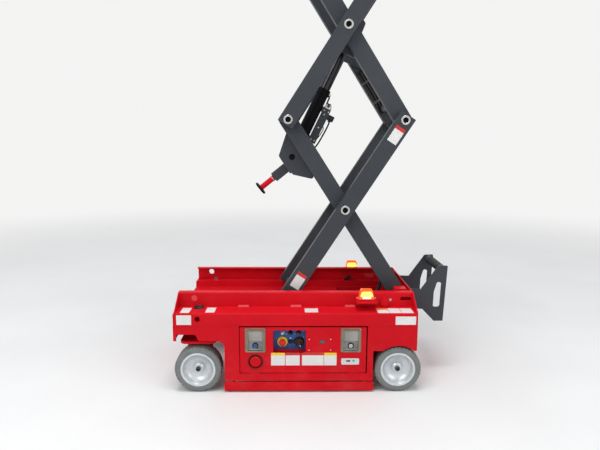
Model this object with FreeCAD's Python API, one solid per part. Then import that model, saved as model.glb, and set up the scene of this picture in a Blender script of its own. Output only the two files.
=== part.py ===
"""Compact electric scissor lift, raised, in millimetres.

The frame stands on the floor at Z = 0. Minus X is the steered front, plus X the
ladder end, minus Y the left side. One function makes each piece.
"""
import FreeCAD, Part
import math
import os

# Chassis widths: the trough that takes the folded arms, and a bay outside each web
TROUGH_HALF = 215.5
BAY_DEPTH = 164.5
HALF_WIDTH = TROUGH_HALF + BAY_DEPTH

# Chassis lengths and heights
FRONT_X = -697.0
REAR_X = 489.0
DECK_TOP = 404.0
BAND_LOW = 342.0
WALL_TOP = 477.0
WALL_OFF = 50.0
LIP = 30.0
FLOOR_TOP = 366.0
FLOOR_END_X = 141.0
REAR_CROSS_X = 400.0
WEB_TOP = 369.0
DROP_LOW = 335.0
FRONT_WEB_LOW = 280.0
BELLY_LOW = 95.0
BELLY_FRONT_X = -400.0
BELLY_ROUND = 40.0
BAY_X = (-426.0, 270.0)

# Chassis sheets
DECK_SHEET = 5.0
BAND_SHEET = 4.0
SKIN_SHEET = 4.0
SKIN_SET_IN = 2.0
END_SHEET = 6.0
WEB = 6.0
BAY_SHEET = 4.0
BEND = 6.0

# Post slot in the trough floor, its shelf and the stop below it
POST_SLOT_X = (-560.0, -390.0)
POST_SLOT_Y = 80.0
POST_SHELF = (76.0, 60.0)
POST_STOP = (-444.0, 60.0, 95.0)

# Holes and fittings of the chassis
NECK_HALF = 150.0
NECK_LOW = 150.0
LASH_AT = (100.0, 200.0)
LASH_D = 30.0
WALL_HOLE = (-611.0, 448.0)
WALL_SLOT = (450.0, 445.0, 58.0, 19.0)
BAND_HOLE = (-578.0, 376.0, 26.0)
ACCESS_HOLE = (-586.0, 48.0, 8.0)
BOSS = (342.0, 426.0, 40.0, 12.0)

# Side skin outline
SKIN_TAB = (14.0, 264.5)
FENDER_LOW = 297.0
FENDER_STEP_X = (-588.0, -576.0)
FENDER_STEP_LOW = 264.0
SKIN_LOW = 60.0
SKIN_FRONT_X = -450.0
ARCH_R = 124.0
ARCH_SIDE_X = 276.0
REAR_SKIN_LOW = 213.0

# Doors, latches, controls and guards
DOOR_X = (-375.0, 240.0)
DOOR_Z = (102.0, 335.0)
DOOR_GAP = (3.0, 6.0)
DOOR_SHEET = 3.0
DOOR_FLANGE = 20.0
HINGE_Z = 100.0
HINGE_X = (-330.0, -90.0, 150.0)
HINGE_L = 50.0
HINGE_D = 3.6
LATCH_SIZE = (92.0, 113.0)
LATCH_TRAY = (78.0, 100.0)
LATCH_X = (-300.5, 165.0)
LATCH_Z = 264.0
TRAY_SHEET = 2.0
TRAY_DEPTH = 16.0
PADDLE_H = 50.0
LOCK_D = 18.0
BUTTON_AT = (-300.0, 159.0)
BUTTON_CUP = (76.0, 22.0)
BUTTON_D = 46.0
PANEL_X = (-214.0, -54.0)
PANEL_Z = (205.0, 320.0)
PANEL_DEPTH = 40.0
PANEL_EDGE = 8.0
PANEL_STAND_Z = (240.0, 280.0)
STOP_AT = (-169.0, 246.0)
STOP_COLLAR = (50.0, 8.0)
STOP_HEAD = (32.0, 18.0)
KNOB_AT = (-88.0, 245.0)
KNOB = (45.0, 14.0)
KNOB_GRIP = (10.0, 36.0, 10.0)
SWITCHES = ((-169.0, 292.0), (-129.0, 292.0), (-90.0, 292.0), (-129.0, 246.0))
SWITCH = (14.0, 16.0)
GUARD_X = (-454.0, 280.0)
GUARD_Z = (8.0, 54.0)
GUARD_SHEET = 6.0
GUARD_HINGE_Z = 66.0
GUARD_PIN_D = 8.0
GUARD_EARS = (40.0, 60.0)

# Loads in the bays
BATTERY_X = (-40.0, 112.0)
BATTERY_SIZE = (145.0, 205.0)
TANK_X = (-405.0, -225.0)
TANK_H = 150.0
PUMP = (110.0, 150.0)

# Wheels, steering and drive
TYRE_D = 230.0
TYRE_W = 80.0
TYRE_SHOULDER = 9.0
WHEEL_SET_IN = 5.0
WHEEL_BASE = 983.0
STEER_X = -582.5
RIM_D = 172.0
RIM_LIP = 10.0
RIM_SET_IN = 3.0
DISH_DEPTH = 40.0
DISH_SLOPE = (8.0, 16.0)
DISH_SHEET = 12.0
HUB_D = 52.0
SPINDLE_D = 34.0
SPINDLE_END = 23.0
KINGPIN_OFF = 18.0
KINGPIN_D = 30.0
HOUSING_D = 60.0
HOUSING_Z = (256.0, 394.0)
BRACKET_HALF = 26.0
YOKE_PLATE = (88.0, 243.0, 255.0)
YOKE_LEG = (70.0, 36.0, 10.0)
TIE_PIN = (76.0, 10.0)
TIE_ROD_D = 16.0
TIE_EYE = (28.0, 14.0)
MOTOR = (120.0, 80.0, 10.0)

# Beacons on their brackets
BEACON_X = 244.0
BEACON_FOOT = (103.0, 80.0, 444.0, 6.0)
BEACON_BASE = (98.0, 46.0, 10.0)
BEACON_LENS = (74.0, 56.0, 47.0)

# Ladder: side plate edge and slot as X behind the rear sheet, Z and corner radius
LADDER_OFF = 75.5
LADDER_SHEET = 6.0
LADDER_EDGE = ((0, 458), (28, 458), (70, 456), (158, 582, 6), (208, 584, 6), (194, 281, 4), (145, 282, 4),
               (82, 347), (0, 352))
LADDER_SLOT = ((156, 497, 9), (178, 491, 9), (174, 359, 12), (138, 359, 10), (140, 441, 16))
LADDER_TUBES = ((182.0, 560.0, 42.0), (168.0, 306.0, 30.0))

# Scissor stack
LEVELS = 3
PIN_X = 435.0
PIN_Z = 434.0
ARM_L = 1066.0
REST_ANGLE = 57.1
FOLDED_ANGLE = 6.0
ARM_H = 84.0
ARM_T = 40.0
ARM_WALL = 4.0
ARM_PAST_PIN = 28.0
ARM_END_ROUND = 20.0
OUTER_ARM_OFF = 65.5
ARM_GAP = 5.0
BUSH_OD = 45.0
BUSH_PROUD = 2.5
PIN_D = 28.0
PIN_PLAY = 0.3
PIN_RECESS = 4.0
CROSS_TUBE = (96.0, 50.0)
FOOT_TUBE = (56.0, 30.0, 32.0)
ROLLER_W = 38.0
ROLLER_GAP = 2.5
AXLE_END_D = 22.0
ANCHOR = (407.0, 470.0, 55.0, 25.0)

# Lift cylinder and rest post: lengths back from the upper end of the lowest inner arm, and off it
CHEEK = 12.0
CHEEK_PAD = 5.0
BASE_PIN = (164.0, 83.0)
BASE_CHEEK = ((34.0, 26.0, 12), (123.0, 138.0, 10), (243.0, 128.0, 10), (329.0, 43.0, 12))
BASE_TIE = (131.0, 231.0, 10.0)
ROD_PIN_OFF = 60.0
ROD_CHEEK = (70.0, 30.0, 32.0)
ROD_GUSSET = (20.0, 200.0, 94.0)
ROD_BOSS_D = 46.0
CYL_PIN_D = 30.0
BARREL_D = 66.0
BARREL_EYE = (58.0, 46.0)
BARREL_BOTTOM = 40.0
GLAND = (30.0, 72.0)
ROD_D = 56.0
ROD_EYE = (64.0, 46.0)
ROD_NECK = 40.0
VALVE_BAR = (112.0, 305.0, 38.0, 79.0, 32.0)
VALVE_FEET = ((112.0, 142.0), (280.0, 305.0))
VALVE_TOP = (20.0, 28.0)
VALVE_COIL = (268.0, 28.0, 112.0)
POST_AT = 196.0
POST_SOCKET = (50.0, 85.0)
POST_ROD = (29.0, 90.0)
POST_FOOT = (71.0, 9.0)

# Platform
DECK_OVER_PIN = 62.0
PLATFORM_PAST = (33.0, 131.0)
PLATFORM_IN = 25.0
PLATFORM_SHEET = 5.0
SKIRT_H = 45.0
CHANNEL_SHEET = 4.0
CHANNEL_END_X = 380.0
PLATFORM_LUG = ((400.0, 470.0), 26.0, 12.0)
PLATFORM_TIES = (-600.0, -300.0, 0.0, 300.0)
PLATFORM_TIE_L = 50.0
RAIL_H = 1100.0
RAIL_D = 34.0
TOE_H = 150.0
TOE_SHEET = 3.0

# Entry gate, roll-out floor and platform controls
GATE_GAP = 55.0
GATE_LOW = 30.0
GATE_HINGE_Z = (300.0, 800.0)
GATE_HINGE = (6.0, 40.0)
EXTENSION_IN = (12.0, 55.0)
EXTENSION_END_X = 200.0
EXTENSION_NOSE = (12.0, 40.0)
EXTENSION_RAIL_END = -32.0
EXTENSION_RAIL_DROP = 12.0
BOX_EDGE = ((0, -170, 6), (90, -170, 6), (110, -30, 10), (60, 0, 10), (0, 0, 6))
BOX_HALF = 90.0
BOX_LEVER = ((86.0, -20.0), (104.0, 60.0), -40.0, 24.0)
BOX_STOP = ((70.0, -12.0), (92.0, 16.0), 45.0, 36.0)

# What follows from the sizes above
REST = math.radians(REST_ANGLE)
HALF_SPAN = ARM_L * math.cos(REST)
LEVEL_H = ARM_L * math.sin(REST)
SLIDE_X = PIN_X - HALF_SPAN
TYRE_R = TYRE_D / 2
REAR_AXLE_X = STEER_X + WHEEL_BASE
WHEEL_OUTER_Y = HALF_WIDTH - WHEEL_SET_IN
WHEEL_INNER_Y = WHEEL_OUTER_Y - TYRE_W
SPINDLE_END_Y = WHEEL_OUTER_Y - SPINDLE_END
KINGPIN_Y = WHEEL_INNER_Y - KINGPIN_OFF
SKIN_OUT_Y = HALF_WIDTH - SKIN_SET_IN
SKIN_IN_Y = SKIN_OUT_Y - SKIN_SHEET
GUARD_HINGE_Y = HALF_WIDTH - 14.0
WALL_IN_Y = TROUGH_HALF + WALL_OFF
WALL_OUT_Y = WALL_IN_Y + DECK_SHEET
INNER_X = (FRONT_X + END_SHEET, REAR_X - END_SHEET)
LADDER_Y = (TROUGH_HALF - LADDER_OFF - LADDER_SHEET, TROUGH_HALF - LADDER_OFF)
BAY_LOAD_Y = (TROUGH_HALF + 11.0, SKIN_IN_Y - 29.0)
BAY_FLOOR = BELLY_LOW + BAY_SHEET
OUTER_ARM_Y = TROUGH_HALF - OUTER_ARM_OFF
INNER_ARM_Y = OUTER_ARM_Y - ARM_GAP - ARM_T
ROLLER_Y = (TROUGH_HALF + ROLLER_GAP, TROUGH_HALF + ROLLER_GAP + ROLLER_W)
ROLLER_R = PIN_Z - DECK_TOP
TOP_PIN_Z = PIN_Z + LEVELS * LEVEL_H
FLOOR_Z = TOP_PIN_Z + DECK_OVER_PIN
RAIL_TOP = FLOOR_Z + RAIL_H - RAIL_D / 2
RAIL_MIDDLE = FLOOR_Z + RAIL_H / 2
PLATFORM_X = (FRONT_X + PLATFORM_PAST[0], REAR_X + PLATFORM_PAST[1])
PLATFORM_HALF_W = HALF_WIDTH - PLATFORM_IN
POST_Y = PLATFORM_HALF_W - RAIL_D / 2
GATE_X = PLATFORM_X[1] - RAIL_D / 2
GATE_Y = PLATFORM_HALF_W - GATE_GAP
EXTENSION_X = (PLATFORM_X[0] + EXTENSION_IN[0], EXTENSION_END_X)
EXTENSION_HALF_W = PLATFORM_HALF_W - EXTENSION_IN[1]


def box(x, y, z):
    """A block from its low and high X, Y and Z."""
    size = (x[1] - x[0], y[1] - y[0], z[1] - z[0])
    return Part.makeBox(*size, FreeCAD.Vector(x[0], y[0], z[0]))


def rod(start, end, diameter):
    """A round bar between two points."""
    a = FreeCAD.Vector(*start)
    way = FreeCAD.Vector(*end) - a
    return Part.makeCylinder(diameter / 2, way.Length, a, way)


def across(x, z, y, diameter):
    """A round bar along Y at a place in X and Z."""
    return rod((x, y[0], z), (x, y[1], z), diameter)


def outline(points, place):
    """A closed face through points (a, b) or (a, b, radius), each put in space by place(a, b)."""
    corners = []
    count = len(points)
    for i, point in enumerate(points):
        corner = FreeCAD.Vector(point[0], point[1], 0)
        radius = point[2] if len(point) > 2 else 0
        if not radius:
            corners.append((corner, None, corner))
            continue
        to_before = (FreeCAD.Vector(*points[i - 1][:2], 0) - corner).normalize()
        to_after = (FreeCAD.Vector(*points[(i + 1) % count][:2], 0) - corner).normalize()
        half = to_before.getAngle(to_after) / 2
        back = radius / math.tan(half)
        inward = (to_before + to_after).normalize()
        middle = corner + inward * (radius / math.sin(half) - radius)
        corners.append((corner + to_before * back, middle, corner + to_after * back))
    edges = []
    for i, (start, middle, end) in enumerate(corners):
        if middle:
            edges.append(Part.Arc(place(start), place(middle), place(end)).toShape())
        edges.append(Part.LineSegment(place(end), place(corners[(i + 1) % count][0])).toShape())
    return Part.Face(Part.Wire(edges))


def slab_xz(points, y):
    """A plate across Y from an outline in X and Z."""
    face = outline(points, lambda p: FreeCAD.Vector(p.x, y[0], p.y))
    return face.extrude(FreeCAD.Vector(0, y[1] - y[0], 0))


def slab_yz(points, x):
    """A plate across X from an outline in Y and Z."""
    face = outline(points, lambda p: FreeCAD.Vector(x[0], p.x, p.y))
    return face.extrude(FreeCAD.Vector(x[1] - x[0], 0, 0))


def slab_xy(points, z):
    """A plate across Z from an outline in X and Y."""
    face = outline(points, lambda p: FreeCAD.Vector(p.x, p.y, z[0]))
    return face.extrude(FreeCAD.Vector(0, 0, z[1] - z[0]))


def rectangle(a, b, radius=0):
    """The four corners of a rectangle, rounded where a radius is given."""
    return [(a[0], b[0], radius), (a[1], b[0], radius), (a[1], b[1], radius), (a[0], b[1], radius)]


def centred(at, size, radius=0):
    """A rectangle about its centre."""
    (a, b), (wide, high) = at, size
    return rectangle((a - wide / 2, a + wide / 2), (b - high / 2, b + high / 2), radius)


def fuse(*shapes):
    """One solid from shapes that touch or overlap."""
    return shapes[0].multiFuse(list(shapes[1:])).removeSplitter()


def mirrored(shape):
    """The same shape on the right-hand side."""
    return shape.mirror(FreeCAD.Vector(0, 0, 0), FreeCAD.Vector(0, 1, 0))


def both(shape):
    """A left-hand shape and its mirror image, as one compound of separate solids."""
    return Part.makeCompound([shape, mirrored(shape)])


def on_side(shape, side):
    """A left-hand shape as it is, or on the right-hand side."""
    return shape if side < 0 else mirrored(shape)


def turned(shape, axis, angle):
    """A copy turned by an angle in degrees about an axis through the origin."""
    copy = shape.copy()
    copy.rotate(FreeCAD.Vector(0, 0, 0), FreeCAD.Vector(*axis), angle)
    return copy


def main_frame():
    """Two upright webs, the trough between them, the pans that close it below and the bay shelves."""
    web_y = (-TROUGH_HALF, WEB - TROUGH_HALF)
    trough_y = (web_y[1], -web_y[1])
    low_front = BELLY_FRONT_X - WEB
    web = slab_xz([(INNER_X[0], WEB_TOP), (INNER_X[1], WEB_TOP), (INNER_X[1], BELLY_LOW, BELLY_ROUND),
                   (low_front, BELLY_LOW), (low_front, FRONT_WEB_LOW), (INNER_X[0], FRONT_WEB_LOW)], web_y)
    floor_z = (FLOOR_TOP - WEB, FLOOR_TOP)
    floor = box((INNER_X[0], FLOOR_END_X), trough_y, floor_z)
    slot = slab_xy(rectangle(POST_SLOT_X, (-POST_SLOT_Y, POST_SLOT_Y), POST_SLOT_Y / 4), floor_z)
    closure = box((low_front, BELLY_FRONT_X), trough_y, (BELLY_LOW, floor_z[0]))
    belly = box((BELLY_FRONT_X, INNER_X[1]), trough_y, (BELLY_LOW, BELLY_LOW + WEB))
    drop = box((FLOOR_END_X - WEB, FLOOR_END_X), trough_y, (BELLY_LOW + WEB, floor_z[0]))
    cross = box((REAR_CROSS_X, INNER_X[1]), trough_y, (DROP_LOW, FLOOR_TOP))
    back = box((BAY_X[0], BELLY_FRONT_X), web_y, (BELLY_LOW, WEB_TOP))
    shelf_x = (low_front - POST_SHELF[0], low_front)
    shelf = box(shelf_x, (-POST_SHELF[1], POST_SHELF[1]), (BELLY_LOW, BELLY_LOW + WEB))
    stop_x, stop_d, stop_h = POST_STOP
    stop = rod((stop_x, 0, BELLY_LOW + WEB), (stop_x, 0, BELLY_LOW + WEB + stop_h), stop_d)
    bay_y = (-SKIN_IN_Y, -TROUGH_HALF)
    bay = [box(BAY_X, bay_y, (BELLY_LOW, BAY_FLOOR)),
           box((BAY_X[0], BAY_X[0] + BAY_SHEET), bay_y, (BELLY_LOW, DROP_LOW)),
           box((BAY_X[1] - BAY_SHEET, BAY_X[1]), bay_y, (BELLY_LOW, DROP_LOW))]
    halves = [web, back, *bay, *guard_lugs()]
    frame = fuse(floor, closure, belly, drop, cross, *halves, *map(mirrored, halves))
    return fuse(frame.cut(slot), shelf, stop)


def guard_lugs():
    """The lugs and short pins under the left bay floor that its guard swings on."""
    lugs = []
    half = GUARD_HINGE_Z - SKIN_LOW
    for x in guard_ears():
        lug_x = (x + GUARD_PIN_D + PIN_PLAY, x + GUARD_PIN_D + PIN_PLAY + WEB)
        lug_y = (-GUARD_HINGE_Y - half, half - GUARD_HINGE_Y)
        lugs.append(box(lug_x, lug_y, (GUARD_HINGE_Z - half, BELLY_LOW)))
        pin_end = (lug_x[0], -GUARD_HINGE_Y, GUARD_HINGE_Z)
        lugs.append(rod((x, -GUARD_HINGE_Y, GUARD_HINGE_Z), pin_end, GUARD_PIN_D))
    return lugs


def guard_ears():
    """Where along X a guard's two ears sit."""
    return GUARD_X[0] + GUARD_EARS[0], GUARD_X[1] - GUARD_EARS[1]


def front_plate():
    """The front end sheet, open above the trough and narrow between the steered wheels."""
    half = SKIN_IN_Y
    neck = TROUGH_HALF - WEB
    top = DECK_TOP - DECK_SHEET
    points = [(-half, FENDER_STEP_LOW), (-half, top), (-TROUGH_HALF, top), (-neck, FLOOR_TOP),
              (neck, FLOOR_TOP), (TROUGH_HALF, top), (half, top), (half, FENDER_STEP_LOW),
              (NECK_HALF, FENDER_STEP_LOW, 10), (NECK_HALF - 20, NECK_LOW, 20),
              (20 - NECK_HALF, NECK_LOW, 20), (-NECK_HALF, FENDER_STEP_LOW, 10)]
    plate = slab_yz(points, (FRONT_X, INNER_X[0]))
    for y in (-LASH_AT[0], LASH_AT[0]):
        plate = plate.cut(rod((FRONT_X, y, LASH_AT[1]), (INNER_X[0], y, LASH_AT[1]), LASH_D))
    return plate


def rear_plate():
    """The rear end sheet: high between the walls, sloping to the deck edges, notched for the wheels."""
    narrow = WHEEL_INNER_Y - 20
    half = SKIN_IN_Y
    points = [(-narrow, BELLY_LOW, 30), (-narrow, REAR_SKIN_LOW), (-half, REAR_SKIN_LOW), (-half, DECK_TOP),
              (-WALL_IN_Y, WALL_TOP, 8), (WALL_IN_Y, WALL_TOP, 8), (half, DECK_TOP), (half, REAR_SKIN_LOW),
              (narrow, REAR_SKIN_LOW), (narrow, BELLY_LOW, 30)]
    return slab_yz(points, (INNER_X[1], REAR_X))


def deck(side):
    """One bent sheet: edge band, ledge, wall with its lip, roller shelf and the drop beside the trough."""
    under = DECK_TOP - DECK_SHEET
    band_in = HALF_WIDTH - BAND_SHEET
    lip_y = WALL_IN_Y - LIP
    lip_z = WALL_TOP - DECK_SHEET
    drop_out = TROUGH_HALF + DECK_SHEET
    section = [(HALF_WIDTH, BAND_LOW), (HALF_WIDTH, DECK_TOP, BEND), (WALL_OUT_Y, DECK_TOP),
               (WALL_OUT_Y, WALL_TOP, BEND), (lip_y, WALL_TOP), (lip_y, lip_z), (WALL_IN_Y, lip_z),
               (WALL_IN_Y, DECK_TOP), (TROUGH_HALF, DECK_TOP), (TROUGH_HALF, DROP_LOW),
               (drop_out, DROP_LOW), (drop_out, under), (band_in, under), (band_in, BAND_LOW)]
    wall_y = (-WALL_OUT_Y, -WALL_IN_Y)
    sheet = slab_yz([(-y, z, *radius) for y, z, *radius in section], INNER_X)
    sheet = sheet.cut(across(*WALL_HOLE, wall_y, LASH_D))
    slot_x, slot_z, wide, high = WALL_SLOT
    sheet = sheet.cut(slab_xz(centred((slot_x, slot_z), (wide, high), high / 2 - 1), wall_y))
    hole_x, hole_z, hole_d = BAND_HOLE
    sheet = sheet.cut(across(hole_x, hole_z, (-HALF_WIDTH, -band_in), hole_d))
    hole_x, hole_d, rise = ACCESS_HOLE
    hole_y = -WALL_OUT_Y - hole_d / 3
    sheet = sheet.cut(rod((hole_x, hole_y, under), (hole_x, hole_y, DECK_TOP + rise), hole_d))
    gusset = [(-WALL_OUT_Y, WALL_TOP), (-HALF_WIDTH, DECK_TOP), (-WALL_OUT_Y, DECK_TOP)]
    brace = slab_yz(gusset, (INNER_X[0], INNER_X[0] + DECK_SHEET))
    boss_x, boss_z, boss_d, boss_h = BOSS
    boss = across(boss_x, boss_z, (-WALL_OUT_Y - boss_h, -WALL_OUT_Y), boss_d)
    return on_side(fuse(sheet, brace, boss, beacon_foot()), side)


def beacon_foot():
    """The bent foot on the wall that carries a beacon."""
    wide, reach, z, thick = BEACON_FOOT
    x = (BEACON_X - wide / 2, BEACON_X + wide / 2)
    shelf = slab_xy(rectangle(x, (-WALL_OUT_Y - reach, -WALL_OUT_Y), 8), (z, z + thick))
    leg = box(x, (-WALL_OUT_Y - thick, -WALL_OUT_Y), (DECK_TOP + BEND, z))
    return fuse(shelf, leg)


def side_skin(side):
    """The lower side sheet: fender step, rear wheel arch, door opening and the door's hinge pins."""
    tab_x = FRONT_X + SKIN_TAB[0]
    step_x = FENDER_STEP_X
    arch_turn = math.asin((REAR_SKIN_LOW - TYRE_R) / ARCH_R)
    arch_x = REAR_AXLE_X + ARCH_R * math.cos(arch_turn)
    points = [(FRONT_X, SKIN_TAB[1]), (tab_x, SKIN_TAB[1]), (tab_x, FENDER_LOW, 6),
              (step_x[0], FENDER_LOW, 12), (step_x[1], FENDER_STEP_LOW, 12),
              (SKIN_FRONT_X, FENDER_STEP_LOW, 32), (SKIN_FRONT_X, SKIN_LOW, 8),
              (ARCH_SIDE_X, SKIN_LOW, 8), (ARCH_SIDE_X, REAR_SKIN_LOW), (REAR_X, REAR_SKIN_LOW),
              (REAR_X, BAND_LOW), (FRONT_X, BAND_LOW)]
    y = (-SKIN_OUT_Y, -SKIN_IN_Y)
    sheet = slab_xz(points, y)
    wheel_room = across(REAR_AXLE_X, TYRE_R, y, 2 * ARCH_R)
    sheet = sheet.cut(wheel_room.common(box((ARCH_SIDE_X, arch_x), y, (SKIN_LOW, BAND_LOW))))
    opening_x = (DOOR_X[0] - DOOR_GAP[0], DOOR_X[1] + DOOR_GAP[1])
    sheet = sheet.cut(slab_xz(rectangle(opening_x, (HINGE_Z - 2, BAND_LOW)), y))
    hinge_y = SKIN_SHEET / 2 - SKIN_OUT_Y
    leaf_y = (hinge_y - 1, hinge_y + 1)
    for x in HINGE_X:
        pin = rod((x, hinge_y, HINGE_Z), (x + HINGE_L, hinge_y, HINGE_Z), HINGE_D)
        leaf = box((x, x + HINGE_L), leaf_y, (HINGE_Z - 2, HINGE_Z - 1))
        sheet = fuse(sheet, pin, leaf)
    return on_side(sheet, side)


def kingpin_housings():
    """The two upright tubes that the steered wheels turn in, each on a bracket off its web."""
    low, high = HOUSING_Z
    x = (STEER_X - BRACKET_HALF, STEER_X + BRACKET_HALF)
    pipe = rod((STEER_X, -KINGPIN_Y, low), (STEER_X, -KINGPIN_Y, high), HOUSING_D)
    bracket_z = (low + 34, WEB_TOP - 36)
    arm = box(x, (-KINGPIN_Y, -TROUGH_HALF - DECK_SHEET), bracket_z)
    foot = box(x, (-KINGPIN_Y, -TROUGH_HALF), (bracket_z[0], bracket_z[0] + BRACKET_HALF))
    bore = rod((STEER_X, -KINGPIN_Y, low), (STEER_X, -KINGPIN_Y, high), KINGPIN_D + 2 * PIN_PLAY)
    return both(fuse(pipe, arm, foot).cut(bore))


def drive_motors():
    """The round drive housings on the webs behind the rear wheels, with their spindles."""
    body_d, nose_d, rise = MOTOR
    nose_y = 14 - WHEEL_INNER_Y
    face_y = nose_y - 8
    body = across(REAR_AXLE_X, TYRE_R + rise, (nose_y, -TROUGH_HALF), body_d)
    nose = across(REAR_AXLE_X, TYRE_R, (face_y, nose_y), nose_d)
    spindle = across(REAR_AXLE_X, TYRE_R, (-SPINDLE_END_Y, face_y), SPINDLE_D)
    return both(fuse(body, nose, spindle))


def stack_anchors():
    """The two upright lugs that hold the fixed ends of the lowest inner arms, with their pins."""
    front, crown, thick, drop = ANCHOR
    y = (-OUTER_ARM_Y - thick, -OUTER_ARM_Y)
    lug = slab_xz([(front, FLOOR_TOP), (INNER_X[1], FLOOR_TOP), (INNER_X[1], WALL_TOP - drop),
                   (crown, WALL_TOP, 10), (front, WALL_TOP, 12)], y)
    return both(fuse(lug, across(PIN_X, PIN_Z, (-OUTER_ARM_Y, -INNER_ARM_Y), PIN_D)))


def batteries():
    """Four plain battery blocks on the bay floors, two a side."""
    long, high = BATTERY_SIZE
    y = (-BAY_LOAD_Y[1], -BAY_LOAD_Y[0])
    blocks = [box((x, x + long), y, (BAY_FLOOR, BELLY_LOW + high)) for x in BATTERY_X]
    return Part.makeCompound(blocks + [mirrored(block) for block in blocks])


def hydraulic_unit():
    """The pump's tank and motor in the right bay."""
    motor_d, motor_l = PUMP
    middle = sum(BAY_LOAD_Y) / 2
    axis_z = BAY_FLOOR + TANK_H / 2
    tank = box(TANK_X, BAY_LOAD_Y, (BAY_FLOOR, BAY_FLOOR + TANK_H))
    motor = rod((TANK_X[1], middle, axis_z), (TANK_X[1] + motor_l, middle, axis_z), motor_d)
    return fuse(tank, motor)


def beacons():
    """The two amber lamps on their feet outside the walls: a base and a lens that narrows upwards."""
    base_x, base_y, base_h = BEACON_BASE
    wide, narrow, high = BEACON_LENS
    y = -WALL_OUT_Y - BEACON_FOOT[1] / 2
    low = BEACON_FOOT[2] + BEACON_FOOT[3]
    base = slab_xy(centred((BEACON_X, y), (base_x, base_y), 10), (low, low + base_h))
    foot, top = (low + base_h, low + base_h + high)
    front = [(BEACON_X - wide / 2, foot), (BEACON_X + wide / 2, foot), (BEACON_X + narrow / 2, top, 10),
             (BEACON_X - narrow / 2, top, 10)]
    deep = base_y / 2 - 2
    side = [(y - deep, foot), (y + deep, foot), (y + deep - 8, top), (y - deep + 8, top)]
    across_y = slab_xz(front, (y - base_y, y + base_y))
    lens = across_y.common(slab_yz(side, (BEACON_X - base_x, BEACON_X + base_x)))
    return both(fuse(base, lens))


def ladder():
    """Two pierced side plates on the rear sheet, tied by a grab tube and a low rung."""
    y = (-LADDER_Y[1], -LADDER_Y[0])
    edge = [(REAR_X + back, *rest) for back, *rest in LADDER_EDGE]
    slot = [(REAR_X + back, *rest) for back, *rest in LADDER_SLOT]
    plate = slab_xz(edge, y).cut(slab_xz(slot, y))
    tubes = [across(REAR_X + back, z, (-LADDER_Y[0], LADDER_Y[0]), d) for back, z, d in LADDER_TUBES]
    return fuse(plate, mirrored(plate), *tubes)


def door(side):
    """A bay door with its edges turned in; the left one has the control window and the stop button."""
    face = -SKIN_OUT_Y
    y = (face, face + DOOR_FLANGE)
    sheet_y = (face, face + DOOR_SHEET)
    inside_x = (DOOR_X[0] + DOOR_SHEET, DOOR_X[1] - DOOR_SHEET)
    inside_z = (DOOR_Z[0] + DOOR_SHEET, DOOR_Z[1] - DOOR_SHEET)
    shell = slab_xz(rectangle(DOOR_X, DOOR_Z, 6), y)
    shell = shell.cut(slab_xz(rectangle(inside_x, inside_z, 3), (sheet_y[1], y[1])))
    for x in LATCH_X:
        hole = [size + 2 * PIN_PLAY for size in LATCH_TRAY]
        shell = shell.cut(slab_xz(centred((x, LATCH_Z), hole), sheet_y))
    if side < 0:
        shell = shell.cut(slab_xz(rectangle(PANEL_X, PANEL_Z, 12), sheet_y))
        shell = fuse(shell.cut(across(*BUTTON_AT, sheet_y, BUTTON_CUP[0] - 2)), stop_cup(face))
    return on_side(shell, side)


def stop_cup(face):
    """The dished seat of the door's stop button, with its button."""
    outer, deep = BUTTON_CUP
    floor_y = (face + deep - DOOR_SHEET, face + deep)
    seat = across(*BUTTON_AT, (face, floor_y[1]), outer)
    seat = seat.cut(across(*BUTTON_AT, (face, floor_y[0]), outer - 2 * DOOR_SHEET))
    stem = across(*BUTTON_AT, (face + DOOR_SHEET, floor_y[0]), BUTTON_D / 2)
    cap = across(*BUTTON_AT, (face - SKIN_SET_IN, face + 2 * DOOR_SHEET), BUTTON_D)
    return fuse(seat, stem, cap)


def latches(side):
    """The two flush latches of a door: a dished tray with a paddle above and a key lock below."""
    trays = []
    face = -SKIN_OUT_Y
    for x in LATCH_X:
        at = (x, LATCH_Z)
        flange = slab_xz(centred(at, LATCH_SIZE, 10), (face - 1.5, face))
        dish = slab_xz(centred(at, LATCH_TRAY), (face, face + TRAY_DEPTH))
        inside = [size - 2 * TRAY_SHEET for size in LATCH_TRAY]
        hollow = slab_xz(centred(at, inside), (face - 1.5, face + TRAY_DEPTH - TRAY_SHEET))
        crown = LATCH_Z + inside[1] / 2
        paddle_z = (crown - PADDLE_H, crown)
        wide = (x - inside[0] / 2, x + inside[0] / 2)
        paddle = slab_xz(rectangle(wide, paddle_z), (face + 1, face + 5))
        plate_z = (LATCH_Z - inside[1] / 2, paddle_z[0] - 4)
        plate = slab_xz(rectangle(wide, plate_z), (face + 8, face + TRAY_DEPTH))
        lock = across(x, sum(plate_z) / 2, (face + 2, face + TRAY_DEPTH), LOCK_D)
        trays.append(fuse(fuse(flange, dish).cut(hollow), paddle, plate, lock))
    return on_side(Part.makeCompound(trays), side)


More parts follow.
